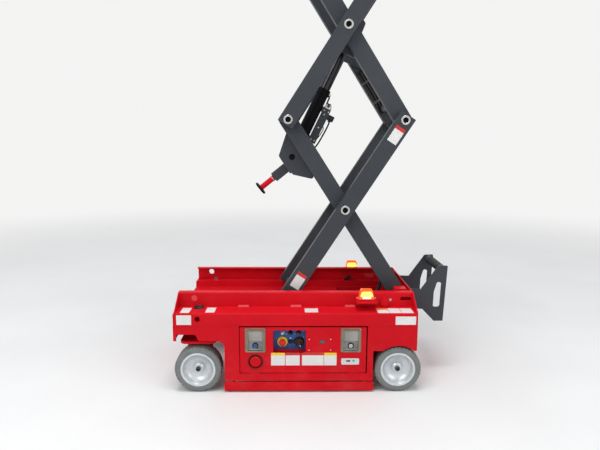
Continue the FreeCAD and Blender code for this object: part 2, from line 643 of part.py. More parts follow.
def control_panel():
    """The ground control pocket behind the left door's window, with its switches."""
    face = -SKIN_OUT_Y + DOOR_FLANGE + 5
    back = face + PANEL_DEPTH - DOOR_FLANGE
    out_x = (PANEL_X[0] - PANEL_EDGE, PANEL_X[1] + PANEL_EDGE)
    out_z = (PANEL_Z[0] - PANEL_EDGE, PANEL_Z[1] + PANEL_EDGE)
    pocket = slab_xz(rectangle(out_x, out_z, PANEL_EDGE), (face, back + DOOR_SHEET))
    pocket = pocket.cut(slab_xz(rectangle(PANEL_X, PANEL_Z, PANEL_EDGE), (face, back)))
    stand = box(PANEL_X, (back + DOOR_SHEET, -TROUGH_HALF), PANEL_STAND_Z)
    collar_d, collar_h = STOP_COLLAR
    head_d, head_h = STOP_HEAD
    collar = across(*STOP_AT, (back - collar_h, back), collar_d)
    button = across(*STOP_AT, (back - collar_h - head_h, back - collar_h), head_d)
    knob_d, knob_h = KNOB
    wide, high, tall = KNOB_GRIP
    knob = across(*KNOB_AT, (back - knob_h, back), knob_d)
    grip = slab_xz(centred(KNOB_AT, (wide, high)), (back - knob_h - tall, back - knob_h))
    toggles = [across(x, z, (back - SWITCH[1], back), SWITCH[0]) for x, z in SWITCHES]
    return fuse(pocket, stand, collar, button, knob, grip, *toggles)


def guard(side):
    """The hinged bar that hangs under a bay to stop a tip in a pothole, with its hinge ears."""
    inner = GUARD_HINGE_Z + GUARD_SHEET
    y = -GUARD_HINGE_Y
    y_out = y - 7 - GUARD_SHEET
    parts = [slab_xz(rectangle(GUARD_X, GUARD_Z, 4), (y_out, y_out + GUARD_SHEET))]
    for x in guard_ears():
        ear_x = (x, x + GUARD_PIN_D)
        ear = slab_yz([(y - 7, GUARD_Z[0] + 10), (y - 7, inner, 4), (y + 7, inner, 4),
                       (y + 7, GUARD_Z[0] + 20)], ear_x)
        bore = rod((x, y, GUARD_HINGE_Z), (ear_x[1], y, GUARD_HINGE_Z), GUARD_PIN_D + 2 * PIN_PLAY)
        parts.append(ear.cut(bore))
    return on_side(fuse(*parts), side)


def yoke(side):
    """A steering knuckle: kingpin, level plate above the tyre, inboard plate and wheel spindle."""
    reach, low, high = YOKE_PLATE
    half, foot, thick = YOKE_LEG
    x = (STEER_X - reach, STEER_X + reach)
    y_out = 15 - WHEEL_OUTER_Y
    y_in = 15 - KINGPIN_Y
    plate = slab_xy([(x[0], y_out, 30), (x[1], y_out, 30), (x[1], y_in, 12), (x[0], y_in, 12)], (low, high))
    leg_y = (-KINGPIN_Y - 1 - thick, -KINGPIN_Y - 1)
    foot_z = TYRE_R - foot
    leg = slab_xz([(STEER_X - half, low), (STEER_X + half, low), (STEER_X + foot, foot_z, 30),
                   (STEER_X - foot, foot_z, 30)], leg_y)
    kingpin = rod((STEER_X, -KINGPIN_Y, low), (STEER_X, -KINGPIN_Y, HOUSING_Z[1] - 4), KINGPIN_D)
    spindle = across(STEER_X, TYRE_R, (-SPINDLE_END_Y, leg_y[1]), SPINDLE_D)
    tie_x = STEER_X + TIE_PIN[0]
    tie_pin = rod((tie_x, -KINGPIN_Y, high), (tie_x, -KINGPIN_Y, high + TIE_EYE[1] + 3), TIE_PIN[1])
    return on_side(fuse(plate, leg, kingpin, spindle, tie_pin), side)


def tie_rod():
    """The bar across the chassis that keeps both knuckles parallel."""
    eye_d, eye_h = TIE_EYE
    x = STEER_X + TIE_PIN[0]
    low = YOKE_PLATE[2] + 2
    z = low + eye_h / 2
    bar = rod((x, -KINGPIN_Y, z), (x, KINGPIN_Y, z), TIE_ROD_D)
    eyes = [rod((x, y, low), (x, y, low + eye_h), eye_d) for y in (-KINGPIN_Y, KINGPIN_Y)]
    shape = fuse(bar, *eyes)
    for y in (-KINGPIN_Y, KINGPIN_Y):
        shape = shape.cut(rod((x, y, low - 2), (x, y, low + eye_h + 2), TIE_PIN[1] + 2 * PIN_PLAY))
    return shape


def wheel_turned(points, x, side):
    """A body turned about a wheel's axle from (radius, Y, corner radius) points."""
    face = outline(points, lambda p: FreeCAD.Vector(x, p.y, TYRE_R + p.x))
    return on_side(face.revolve(FreeCAD.Vector(x, 0, TYRE_R), FreeCAD.Vector(0, 1, 0), 360), side)


def tyre(x, side):
    """A solid tyre with chamfered shoulders."""
    out, inside = (-WHEEL_OUTER_Y, -WHEEL_INNER_Y)
    shoulder = TYRE_R - TYRE_SHOULDER
    return wheel_turned([(RIM_D / 2, out + RIM_SET_IN), (shoulder, out), (TYRE_R, out + TYRE_SHOULDER),
                         (TYRE_R, inside - TYRE_SHOULDER), (shoulder, inside),
                         (RIM_D / 2, inside - RIM_SET_IN)], x, side)


def rim(x, side):
    """A wheel centre: a flat lip, a cone down into the dish, the hub and its spindle bore."""
    out, inside = (RIM_SET_IN - WHEEL_OUTER_Y, -WHEEL_INNER_Y - RIM_SET_IN)
    r = RIM_D / 2
    lip = r - RIM_LIP
    bore = SPINDLE_D / 2 + PIN_PLAY
    face = out + DISH_DEPTH
    turn_in, turn_out = DISH_SLOPE
    back = face + DISH_SHEET
    hub = HUB_D / 2
    points = [(r, out), (r, inside), (lip, inside), (lip, back, 4), (bore, back),
              (bore, out + turn_out), (hub - 6, out + turn_out), (hub, out + turn_out + 6),
              (hub, face, 5), (lip - turn_out, face, 12), (lip - turn_in / 2, out + turn_in, 6), (lip, out)]
    return wheel_turned(points, x, side)


def arm_place(level, kind):
    """The lower pin and the rest angle of an arm; inner arms lean to the front, outer ones to the rear."""
    z = PIN_Z + (level - 1) * LEVEL_H
    if kind == "inner":
        return (PIN_X, z), 180 - REST_ANGLE
    return (SLIDE_X, z), REST_ANGLE


def along_arm(shape, level, kind):
    """Turn a shape modelled level from the lower pin, along X, into its arm's place."""
    (x, z), angle = arm_place(level, kind)
    shape = turned(shape, (0, -1, 0), angle)
    shape.translate(FreeCAD.Vector(x, 0, z))
    return shape


def arm_bar(y, corner):
    """One box-section arm; its lower end has rounded corners."""
    low, high = (-ARM_PAST_PIN, ARM_L + ARM_PAST_PIN)
    half = ARM_H / 2
    outside = slab_xz([(low, -half, corner), (high, -half), (high, half), (low, half, corner)], y)
    inside_y = (y[0] + ARM_WALL, y[1] - ARM_WALL)
    return outside.cut(box((low, high), inside_y, (ARM_WALL - half, half - ARM_WALL)))


def frame_ties(level):
    """The round tubes between the two bars of an inner frame."""
    back, big = CROSS_TUBE
    in_y = (-INNER_ARM_Y, INNER_ARM_Y)
    if level > 1:
        return [across(back, 0, in_y, big), across(ARM_L - back, 0, in_y, big)]
    off, n, small = FOOT_TUBE
    return [across(back + 14, 0, in_y, big), across(ARM_L - off, n, in_y, small)]


def arm_frame(kind, level):
    """One scissor frame: left and right bars with their bushes, ties and pins."""
    inner = kind == "inner"
    near = INNER_ARM_Y if inner else OUTER_ARM_Y
    face, inside = (-near - ARM_T, -near)
    bar = arm_bar((face, inside), ARM_END_ROUND if inner and level == 1 else 3)
    proud = 0 if inner else BUSH_PROUD
    middle = ARM_L / 2
    bar_y = (face - proud, inside)
    bar = fuse(bar, *[across(x, 0, bar_y, BUSH_OD) for x in (0, middle, ARM_L)])
    bored = (0, ARM_L) if inner else (middle,)
    if inner and level == LEVELS:
        bored = (0,)
    for x in bored:
        bar = bar.cut(across(x, 0, bar_y, PIN_D + 2 * PIN_PLAY))
    if not inner:
        for x in (0, ARM_L):
            bar = bar.cut(across(x, 0, (bar_y[0], face + PIN_RECESS), PIN_D))
    pieces = [bar, mirrored(bar)]
    if inner:
        pin = across(middle, 0, (PIN_RECESS - OUTER_ARM_Y - ARM_T, face + PIN_RECESS), PIN_D)
        pieces += [pin, mirrored(pin), *frame_ties(level)]
        if level == LEVELS:
            pieces += [across(ARM_L, 0, (inside, near), PIN_D), *axle_ends(ARM_L, face)]
        if level == 2:
            pieces += rod_cheeks()
    else:
        pieces += [across(x, 0, (inside, near), PIN_D) for x in (0, ARM_L)]
        if level == 1:
            pieces += axle_ends(0, face)
        if level == LEVELS:
            pieces += axle_ends(ARM_L, face)
    return along_arm(fuse(*pieces), level, kind)


def axle_ends(x, face):
    """The turned-down ends that carry a frame's rollers or the platform's lugs."""
    end = across(x, 0, (-ROLLER_Y[1] - 2, face + ARM_WALL), AXLE_END_D)
    return [end, mirrored(end)]


def rollers(kind, level, at):
    """The two plain rollers on a frame's axle ends."""
    y = (-ROLLER_Y[1], -ROLLER_Y[0])
    roller = across(at, 0, y, 2 * (ROLLER_R - PIN_PLAY)).cut(across(at, 0, y, AXLE_END_D))
    return along_arm(both(roller), level, kind)


def lift_bracket():
    """Two cheeks on the lowest inner frame that hold the cylinder's foot, and the rest post's socket."""
    y = (-INNER_ARM_Y, CHEEK - INNER_ARM_Y)
    plate = slab_xz([(ARM_L - back, *rest) for back, *rest in BASE_CHEEK], y)
    pin = across(ARM_L - BASE_PIN[0], BASE_PIN[1], (y[0], -y[0]), CYL_PIN_D)
    back, front, thick = BASE_TIE
    root = BASE_CHEEK[1][1]
    tie = box((ARM_L - front, ARM_L - back), (y[0], -y[0]), (root - thick, root))
    off, n, tube_d = FOOT_TUBE
    room = across(ARM_L - off, n, (y[0], -y[0]), tube_d)
    return along_arm(fuse(plate, mirrored(plate), pin, tie).cut(room), 1, "inner")


def rest_post():
    """The socket, rod and round foot that hold the folded stack off the chassis."""
    half, long = (POST_SOCKET[0] / 2, POST_SOCKET[1])
    end = long + POST_ROD[1]
    at, root = (ARM_L - POST_AT, BASE_CHEEK[1][1])
    socket = box((-half, half), (-half, half), (-half, long))
    post = rod((0, 0, long), (0, 0, end), POST_ROD[0])
    foot = rod((0, 0, end), (0, 0, end + POST_FOOT[1]), POST_FOOT[0])
    shape = turned(fuse(socket, post, foot), (0, 1, 0), -FOLDED_ANGLE)
    shape.translate(FreeCAD.Vector(at, 0, root))
    below_root = box((at - 2 * half, at + 2 * half), (-2 * half, 2 * half), (root - 2 * long, root))
    return along_arm(shape.cut(below_root), 1, "inner")


def foot_point(angle):
    """Where the cylinder's foot pin is when the arms stand at an angle."""
    along, off = (ARM_L - BASE_PIN[0], BASE_PIN[1])
    c, s = (math.cos(angle), math.sin(angle))
    return PIN_X - along * c - off * s, PIN_Z + along * s - off * c


def eye_point(angle):
    """Where the pin of the rod's eye is when the arms stand at an angle."""
    c, s = (math.cos(angle), math.sin(angle))
    return PIN_X - ARM_L / 2 * c + ROD_PIN_OFF * s, PIN_Z + 1.5 * ARM_L * s + ROD_PIN_OFF * c


def pin_to_pin(angle):
    """The cylinder's length between its pins when the arms stand at an angle."""
    return math.dist(foot_point(angle), eye_point(angle))


CYL_L = pin_to_pin(REST)
FOLDED_L = pin_to_pin(math.radians(FOLDED_ANGLE))
BARREL_L = FOLDED_L - ROD_EYE[0] / 2 - 18


def along_cylinder(shape):
    """Turn a shape modelled along X from the cylinder's foot pin into its place."""
    foot, eye = (foot_point(REST), eye_point(REST))
    shape = turned(shape, (0, -1, 0), math.degrees(math.atan2(eye[1] - foot[1], eye[0] - foot[0])))
    shape.translate(FreeCAD.Vector(foot[0], 0, foot[1]))
    return shape


def cylinder_barrel():
    """The lift cylinder's tube with its foot eye and gland."""
    eye_d, eye_w = BARREL_EYE
    gland_l, gland_d = GLAND
    eye_y = (-eye_w / 2, eye_w / 2)
    neck = BARREL_L - gland_l
    pipe = rod((eye_d / 2 - 5, 0, 0), (neck, 0, 0), BARREL_D)
    gland = rod((neck, 0, 0), (BARREL_L, 0, 0), gland_d)
    inside = rod((BARREL_BOTTOM, 0, 0), (BARREL_L, 0, 0), ROD_D + 2 * PIN_PLAY)
    barrel = fuse(across(0, 0, eye_y, eye_d), pipe, gland).cut(inside)
    return along_cylinder(barrel.cut(across(0, 0, eye_y, CYL_PIN_D + 2 * PIN_PLAY)))


def cylinder_rod():
    """The plunger and its eye on the pin of the second inner frame."""
    eye_d, eye_w = ROD_EYE
    eye_y = (-eye_w / 2, eye_w / 2)
    shaft = rod((BARREL_BOTTOM + CYL_L - FOLDED_L + 4, 0, 0), (CYL_L - ROD_NECK + 16, 0, 0), ROD_D)
    eye = across(CYL_L, 0, eye_y, eye_d)
    return along_cylinder(fuse(shaft, eye).cut(across(CYL_L, 0, eye_y, CYL_PIN_D + 2 * PIN_PLAY)))


def valve_block():
    """The bar beside the barrel on its two feet, with the lowering valve and its coil."""
    low, high, near, far, wide = VALVE_BAR
    y = (-wide / 2, wide / 2)
    bar = box((low, high), y, (-far, -near))
    feet = [box(x, y, (-near, -BARREL_D / 2)) for x in VALVE_FEET]
    top_d, top_l = VALVE_TOP
    valve = rod((high, 0, -(near + far) / 2), (high + top_l, 0, -(near + far) / 2), top_d)
    coil_x, coil_d, coil_end = VALVE_COIL
    coil = rod((coil_x, 0, -far), (coil_x, 0, -coil_end), coil_d)
    return along_cylinder(fuse(bar, *feet, valve, coil))


def rod_cheeks():
    """The plates on pads inside the second inner frame that hold the rod's pin, with bosses and gussets."""
    middle = ARM_L / 2
    wide, top, reach = ROD_CHEEK
    near, far, drop = ROD_GUSSET
    y = (CHEEK_PAD - INNER_ARM_Y, CHEEK_PAD + CHEEK - INNER_ARM_Y)
    inset = ARM_H / 2 - 7
    crown = -ROD_PIN_OFF - reach
    cheek = [(middle - wide, -inset), (middle - top, crown, 14), (middle + top, crown, 14),
             (middle + wide, -inset), (middle + wide, inset), (middle - wide, inset)]
    pad = rectangle((middle - far, middle + wide), (-inset, inset), 4)
    gusset = [(middle - far, 0), (middle - near, 0), (middle - near, drop),
              (middle - near - 40, drop, 10)]
    boss = across(middle, -ROD_PIN_OFF, (y[1], -ROD_EYE[1] / 2 - 7), ROD_BOSS_D)
    half = [slab_xz(pad, (-INNER_ARM_Y, y[0])), slab_xz(cheek, y), slab_xz(gusset, y), boss]
    return half + [mirrored(piece) for piece in half]


def platform_deck():
    """The work floor on its edge frame, with the roller channels and hinge lugs under it."""
    under = FLOOR_Z - PLATFORM_SHEET
    half = PLATFORM_HALF_W
    sheet = CHANNEL_SHEET
    skirt_z = (under - SKIRT_H, under)
    inner_x = (PLATFORM_X[0] + sheet, PLATFORM_X[1] - sheet)
    skirt = box(PLATFORM_X, (-half, half), skirt_z).cut(box(inner_x, (sheet - half, half - sheet), skirt_z))
    low, high = (TOP_PIN_Z - ROLLER_R, TOP_PIN_Z + ROLLER_R)
    in_y, out_y = (-ROLLER_Y[0], -ROLLER_Y[1] - 2)
    section = [(out_y - sheet, low - sheet), (in_y, low - sheet), (in_y, low), (out_y, low), (out_y, high),
               (in_y, high), (in_y, high + sheet), (out_y - sheet, high + sheet)]
    channel = slab_yz(section, (inner_x[0], CHANNEL_END_X))
    lug_x, reach, thick = PLATFORM_LUG
    lug_y = (-OUTER_ARM_Y - ARM_T - 10 - thick, -OUTER_ARM_Y - ARM_T - 10)
    lug = slab_xz([(lug_x[0], under), (lug_x[1], under), (PIN_X + reach, TOP_PIN_Z - reach, 20),
                   (PIN_X - reach, TOP_PIN_Z - reach, 20)], lug_y)
    lug = lug.cut(across(PIN_X, TOP_PIN_Z, lug_y, AXLE_END_D + 2 * PIN_PLAY))
    tie_z = (high + sheet, under)
    ties = [box((x, x + PLATFORM_TIE_L), (sheet - half, in_y), tie_z) for x in PLATFORM_TIES]
    halves = [channel, lug, *ties]
    return fuse(box(PLATFORM_X, (-half, half), (under, FLOOR_Z)), skirt, *halves, *map(mirrored, halves))


def rail_cap(x, y, z):
    """The rounded corner of a rail."""
    return Part.makeSphere(RAIL_D / 2, FreeCAD.Vector(x, y, z))


def guardrail(side):
    """One side's posts, top and middle rails and toe board; the right one holds the gate's hinges."""
    y = -POST_Y
    half = TOE_SHEET / 2
    ends = (PLATFORM_X[0] + RAIL_D / 2, GATE_X)
    parts = [rod((x, y, FLOOR_Z), (x, y, RAIL_TOP), RAIL_D) for x in (ends[0], 0, ends[1])]
    parts += [rod((ends[0], y, z), (ends[1], y, z), RAIL_D) for z in (RAIL_TOP, RAIL_MIDDLE)]
    parts += [rail_cap(x, y, RAIL_TOP) for x in ends]
    parts.append(box(ends, (y - half, y + half), (FLOOR_Z, FLOOR_Z + TOE_H)))
    if side > 0:
        thick, high = GATE_HINGE
        hinge_x = (GATE_X - thick / 2, GATE_X + thick / 2)
        hinge_y = (-POST_Y + RAIL_D / 2 - 1, -GATE_Y - RAIL_D / 2 - PIN_PLAY)
        parts += [box(hinge_x, hinge_y, (FLOOR_Z + z, FLOOR_Z + z + high)) for z in GATE_HINGE_Z]
    return on_side(fuse(*parts), side)


def gate():
    """The entry gate across the ladder end, hung on the right post."""
    low = FLOOR_Z + GATE_LOW
    half = TOE_SHEET / 2
    stiles = [rod((GATE_X, y, low), (GATE_X, y, RAIL_TOP), RAIL_D) for y in (-GATE_Y, GATE_Y)]
    bars = [rod((GATE_X, -GATE_Y, z), (GATE_X, GATE_Y, z), RAIL_D) for z in (RAIL_TOP, RAIL_MIDDLE)]
    caps = [rail_cap(GATE_X, y, RAIL_TOP) for y in (-GATE_Y, GATE_Y)]
    board = box((GATE_X - half, GATE_X + half), (-GATE_Y, GATE_Y), (low, FLOOR_Z + TOE_H))
    return fuse(*stiles, *bars, *caps, board)


def extension_deck():
    """The roll-out floor that lies on the main one."""
    low = FLOOR_Z + PIN_PLAY
    y = (-EXTENSION_HALF_W, EXTENSION_HALF_W)
    plate = box(EXTENSION_X, y, (low, low + PLATFORM_SHEET))
    nose = box((EXTENSION_X[0], EXTENSION_X[0] + EXTENSION_NOSE[0]), y, (low, low + EXTENSION_NOSE[1]))
    return fuse(plate, nose)


def extension_rail():
    """The rails round the roll-out floor's front and sides, with a toe board."""
    foot = FLOOR_Z + PIN_PLAY + PLATFORM_SHEET
    top = RAIL_TOP - EXTENSION_RAIL_DROP
    half = EXTENSION_HALF_W - RAIL_D / 2
    sheet = TOE_SHEET / 2
    ends = (EXTENSION_X[0] + EXTENSION_NOSE[0] + RAIL_D / 2, EXTENSION_RAIL_END)
    toe_z = (foot, foot + TOE_H)
    parts = [box((ends[0] - sheet, ends[0] + sheet), (-half, half), toe_z)]
    for y in (-half, half):
        parts += [rod((x, y, foot), (x, y, top), RAIL_D) for x in ends]
        parts += [rod((ends[0], y, z), (ends[1], y, z), RAIL_D) for z in (top, RAIL_MIDDLE)]
        parts += [rail_cap(x, y, top) for x in ends]
        parts.append(box(ends, (y - sheet, y + sheet), toe_z))
    parts += [rod((ends[0], -half, z), (ends[0], half, z), RAIL_D) for z in (top, RAIL_MIDDLE)]
    return fuse(*parts)


def control_box():
    """The platform control box on the roll-out rail, with its lever and stop button."""
    top = FLOOR_Z + RAIL_H - EXTENSION_RAIL_DROP
    x = EXTENSION_X[0] + EXTENSION_NOSE[0] + RAIL_D
    case = slab_xz([(x + dx, top + dz, r) for dx, dz, r in BOX_EDGE], (-BOX_HALF, BOX_HALF))
    grips = []
    for foot, tip, y, thick in (BOX_LEVER, BOX_STOP):
        grips.append(rod((x + foot[0], y, top + foot[1]), (x + tip[0], y, top + tip[1]), thick))
    return fuse(case, *grips)


def save(name, shape):
    """Write one piece to its file and print what it is made of."""
    shape.exportStep(f"parts/{name}.step")
    print(name, len(shape.Solids), shape.isValid(), round(shape.Volume / 1e3), "cm3")


PIECES = {
    "main_frame": main_frame(),
    "front_plate": front_plate(),
    "rear_plate": rear_plate(),
    "kingpin_housings": kingpin_housings(),
    "drive_motors": drive_motors(),
    "stack_anchors": stack_anchors(),
    "batteries": batteries(),
    "hydraulic_unit": hydraulic_unit(),
    "beacons": beacons(),
    "ladder": ladder(),
    "control_panel": control_panel(),
    "tie_rod": tie_rod(),
    "lift_bracket": lift_bracket(),
    "rest_post": rest_post(),
    "cylinder_barrel": cylinder_barrel(),
    "cylinder_rod": cylinder_rod(),
    "valve_block": valve_block(),
    "rollers_bottom": rollers("outer", 1, 0),
    "rollers_top": rollers("inner", LEVELS, ARM_L),
    "platform_deck": platform_deck(),
    "gate": gate(),
    "extension_deck": extension_deck(),
    "extension_rail": extension_rail(),
    "control_box": control_box(),
}
for side, name in ((-1, "left"), (1, "right")):
    PIECES[f"deck_{name}"] = deck(side)
    PIECES[f"side_{name}"] = side_skin(side)
    PIECES[f"door_{name}"] = door(side)
    PIECES[f"latches_{name}"] = latches(side)
    PIECES[f"guard_{name}"] = guard(side)
    PIECES[f"guardrail_{name}"] = guardrail(side)
    PIECES[f"yoke_{name}"] = yoke(side)
    for end, axle_x in (("front", STEER_X), ("rear", REAR_AXLE_X)):
        PIECES[f"tyre_{end}_{name}"] = tyre(axle_x, side)
        PIECES[f"rim_{end}_{name}"] = rim(axle_x, side)
for level in range(1, LEVELS + 1):
    PIECES[f"inner_{level}"] = arm_frame("inner", level)
    PIECES[f"outer_{level}"] = arm_frame("outer", level)

os.makedirs("parts", exist_ok=True)
for name, shape in PIECES.items():
    save(name, shape)
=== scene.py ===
# %% [markdown]
# # A compact scissor lift, dressed for rendering
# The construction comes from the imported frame: every plate, arm, wheel and joint
# is already at its real size. This lesson gives each surface its finish and adds
# the small things that make the machine look real: bolts, stickers, knobs,
# cables and tyre notches. Lengths are in metres, minus X is the steered front,
# minus Y the left side, and Z is up.

# %% Load the frame
import math

import bmesh
import bpy
from mathutils import Matrix, Vector


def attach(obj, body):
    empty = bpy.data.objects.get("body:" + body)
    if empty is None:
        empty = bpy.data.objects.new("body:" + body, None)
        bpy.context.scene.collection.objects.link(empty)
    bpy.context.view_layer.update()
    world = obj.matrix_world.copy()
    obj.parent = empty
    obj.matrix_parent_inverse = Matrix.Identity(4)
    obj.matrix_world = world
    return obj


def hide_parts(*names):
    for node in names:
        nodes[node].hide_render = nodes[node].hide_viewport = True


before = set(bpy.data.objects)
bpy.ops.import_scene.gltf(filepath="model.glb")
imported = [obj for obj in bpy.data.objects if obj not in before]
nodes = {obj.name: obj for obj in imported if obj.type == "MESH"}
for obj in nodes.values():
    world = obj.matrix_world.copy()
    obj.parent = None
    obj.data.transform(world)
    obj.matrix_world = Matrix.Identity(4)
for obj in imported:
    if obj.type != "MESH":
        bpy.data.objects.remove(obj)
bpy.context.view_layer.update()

scene = bpy.context.scene

# %% [markdown]
# ## Camera
# The photograph was taken a little above the deck from 2.6 m away with a short
# lens. Its focal length in pixels was worked out from the wheelbase, the deck
# edges and the arms; on a 36 mm sensor it is about 29 mm. The camera looks nine
# degrees down and is turned a hair towards the ladder.

# %% Camera
PHOTO_W, SENSOR_MM, FOCAL_PX = 600, 36, 490.7
CAMERA_AT = Vector((-0.1213, -2.6451, 1.1909))
CAMERA_DOWN, CAMERA_RIGHT, CAMERA_ROLL = 0.1554, 0.0156, 0.005

camera_data = bpy.data.cameras.new("camera")
camera_data.sensor_width = SENSOR_MM
camera_data.lens = FOCAL_PX / PHOTO_W * SENSOR_MM
camera = bpy.data.objects.new("camera", camera_data)
scene.collection.objects.link(camera)
camera.location = CAMERA_AT
turn = Matrix.Rotation(-CAMERA_RIGHT, 4, "Z") @ Matrix.Rotation(math.pi / 2 - CAMERA_DOWN, 4, "X")
camera.rotation_euler = (turn @ Matrix.Rotation(CAMERA_ROLL, 4, "Z")).to_euler()
scene.camera = camera
print("lens", round(camera_data.lens, 2), "mm")

# %% [markdown]
# ## Writing shader maths as plain expressions
# Light and finishes are small networks of nodes. Adding and linking them one by
# one is hard to read, so a socket is wrapped in a class whose operators add the
# Math nodes: `rough + 0.2 * mask` builds the network that it describes. Colours
# never go through Math nodes, which would turn them grey; they go through Mix.

# %% The socket class
class Signal:
    """A number that varies over a surface, with arithmetic that adds Math nodes."""

    def __init__(self, network, socket):
        self.network = network
        self.socket = socket

    def maths(self, operation, first, second, clamp=False):
        return self.network.node("Math", {0: first, 1: second}, operation=operation, use_clamp=clamp)

    def __add__(self, other):
        return self.maths("ADD", self, other)

    def __radd__(self, other):
        return self.maths("ADD", other, self)

    def __sub__(self, other):
        return self.maths("SUBTRACT", self, other)

    def __rsub__(self, other):
        return self.maths("SUBTRACT", other, self)

    def __mul__(self, other):
        return self.maths("MULTIPLY", self, other)

    def __rmul__(self, other):
        return self.maths("MULTIPLY", other, self)

    def clamped(self):
        return self.maths("ADD", self, 0, clamp=True)


class Network:
    """The node tree of a world or a material, built node by node."""

    def __init__(self, owner):
        owner.use_nodes = True
        self.owner = owner
        self.tree = owner.node_tree
        self.tree.nodes.clear()
        self.place = None

    def feed(self, socket, value):
        """Link a signal to a socket, or set the socket's own value."""
        if isinstance(value, Signal):
            self.tree.links.new(value.socket, socket)
        elif isinstance(value, tuple) and len(value) == 3 and len(socket.default_value) == 4:
            socket.default_value = (*value, 1)
        else:
            socket.default_value = value

    def node(self, kind, inputs=(), out=0, **settings):
        """One node of any type: settings first, then its sockets, and one output back."""
        made = self.tree.nodes.new("ShaderNode" + kind)
        for key, value in settings.items():
            setattr(made, key, value)
        for key, value in dict(inputs).items():
            self.feed(made.inputs[key], value)
        return Signal(self, made.outputs[out]) if made.outputs else None

    def coords(self):
        """Object coordinates, which move with the piece."""
        self.place = self.place or self.node("TexCoord", out="Object")
        return self.place

    def noise(self, scale, detail=3, rough=0.55, stretch=None):
        """Soft noise from 0 to 1, stretched along an axis where asked."""
        at = self.coords()
        if stretch:
            at = self.node("Mapping", {"Vector": at, "Scale": stretch})
        return self.node("TexNoise", {"Vector": at, "Scale": scale, "Detail": detail, "Roughness": rough})

    def wave(self, scale, way):
        """Even waves from 0 to 1 across one direction."""
        return self.node("TexWave", {"Vector": self.coords(), "Scale": scale, "Distortion": 0},
                         bands_direction=way)

    def step(self, value, low, high):
        """Zero below low, one above high, smooth between."""
        sockets = {"Value": value, "From Min": low, "From Max": high}
        return self.node("MapRange", sockets, interpolation_type="SMOOTHSTEP")

    def blend(self, share, first, second):
        """Two colours mixed by a share."""
        return self.node("Mix", {0: share, 6: first, 7: second}, out=2, data_type="RGBA")

    def bump(self, height, strength, distance=0.001, round_edges=0):
        """A normal from a height, over edges that are rounded where asked."""
        sockets = {"Height": height, "Strength": strength, "Distance": distance}
        if round_edges:
            sockets["Normal"] = self.node("Bevel", {"Radius": round_edges}, samples=4)
        return self.node("Bump", sockets)

    def end(self, shader, kind="Material"):
        """The output that ends every network."""
        self.node("Output" + kind, {"Surface": shader})
        return self.owner

    def surface(self, **sockets):
        """The Principled shader with its sockets by name, and the output after it."""
        named = {key.replace("_", " "): value for key, value in sockets.items()}
        return self.end(self.node("BsdfPrincipled", named))


def new_finish(name):
    """The empty network of a new material."""
    return Network(bpy.data.materials.new(name))


print("socket class ready")

# %% [markdown]
# ## Light
# A bright hall lights the real machine from above and in front, with soft
# shadows under the chassis. Three large area lamps and an even world give that
# plain light. The world shows pale to the camera and to reflections, so paint
# and steel mirror a pale room while the object's own lighting stays level.

# %% World and lamps
WORLD_COLOUR, WORLD_STRENGTH = (0.93, 0.96, 1), 0.55
HORIZON = (0.9, 0.9, 0.895)
LAMPS = (  # name, place, target, size, watts
    ("key", (-2.6, -3.6, 4.2), (0, 0, 1), 3, 88),
    ("fill", (3.4, -2.6, 2.6), (0, 0, 0.8), 2.6, 38),
    ("top", (-0.2, -0.6, 6.4), (0, 0, 0.4), 2.6, 290),
)

world = bpy.data.worlds.new("hall")
scene.world = world
hall = Network(world)
shown = hall.node("Background", {"Color": WORLD_COLOUR, "Strength": WORLD_STRENGTH})
for ray in ("Is Glossy Ray", "Is Transmission Ray", "Is Camera Ray"):
    pale = hall.node("Background", {"Color": HORIZON})
    shown = hall.node("MixShader", {0: hall.node("LightPath", out=ray), 1: shown, 2: pale})
hall.end(shown, "World")

for name, place, target, size, watts in LAMPS:
    lamp_data = bpy.data.lights.new(name, "AREA")
    lamp_data.size = size
    lamp_data.energy = watts
    lamp = bpy.data.objects.new(name, lamp_data)
    lamp.location = place
    lamp.rotation_euler = (Vector(target) - Vector(place)).to_track_quat("-Z", "Y").to_euler()
    scene.collection.objects.link(lamp)
scene.view_settings.view_transform = "Standard"
print("lamps", len(LAMPS))

# %% [markdown]
# ## Paint
# The chassis is powder-coated red: deep and saturated, with a fine orange peel,
# slightly duller where hands and boots have rubbed it and a breath of dust low
# down. The arms and the lift bracket wear a dark blue-grey coat. Sheet edges are
# never knife-sharp, so the normal is rounded over a millimetre at every edge. All
# coats are one recipe with other numbers, so one function makes them.

# %% Paint
DUST = (0.42, 0.39, 0.36)
EDGE_ROUND = 0.0012


def paint(name, colour, deep, rough, peel, dust_share, gloss):
    """Powder coat: tone drift, rubbed patches, faint scuffs, dust from below and orange peel."""
    f = new_finish(name)
    drift = f.noise(2.6, 4)
    patches = f.noise(14, 5, 0.6)
    scuffs = f.step(f.noise(46, 6, 0.7, (1, 1, 0.25)), 0.68, 0.76)
    low = 1 - f.step(f.node("SeparateXYZ", {0: f.coords()}, out="Z"), 0.05, 0.34)
    film = (dust_share * (0.2 + low) * f.step(patches, 0.4, 0.85)).clamped()
    tone = f.blend(f.step(drift, 0.3, 0.7), colour, deep)
    shine = rough + 0.08 * f.step(patches, 0.4, 0.7) + 0.12 * scuffs + 0.4 * film
    height = f.noise(420, 2) + 0.3 * scuffs
    return f.surface(Base_Color=f.blend(film, tone, DUST), Roughness=shine.clamped(),
                     Specular_IOR_Level=gloss, Normal=f.bump(height, peel, round_edges=EDGE_ROUND))


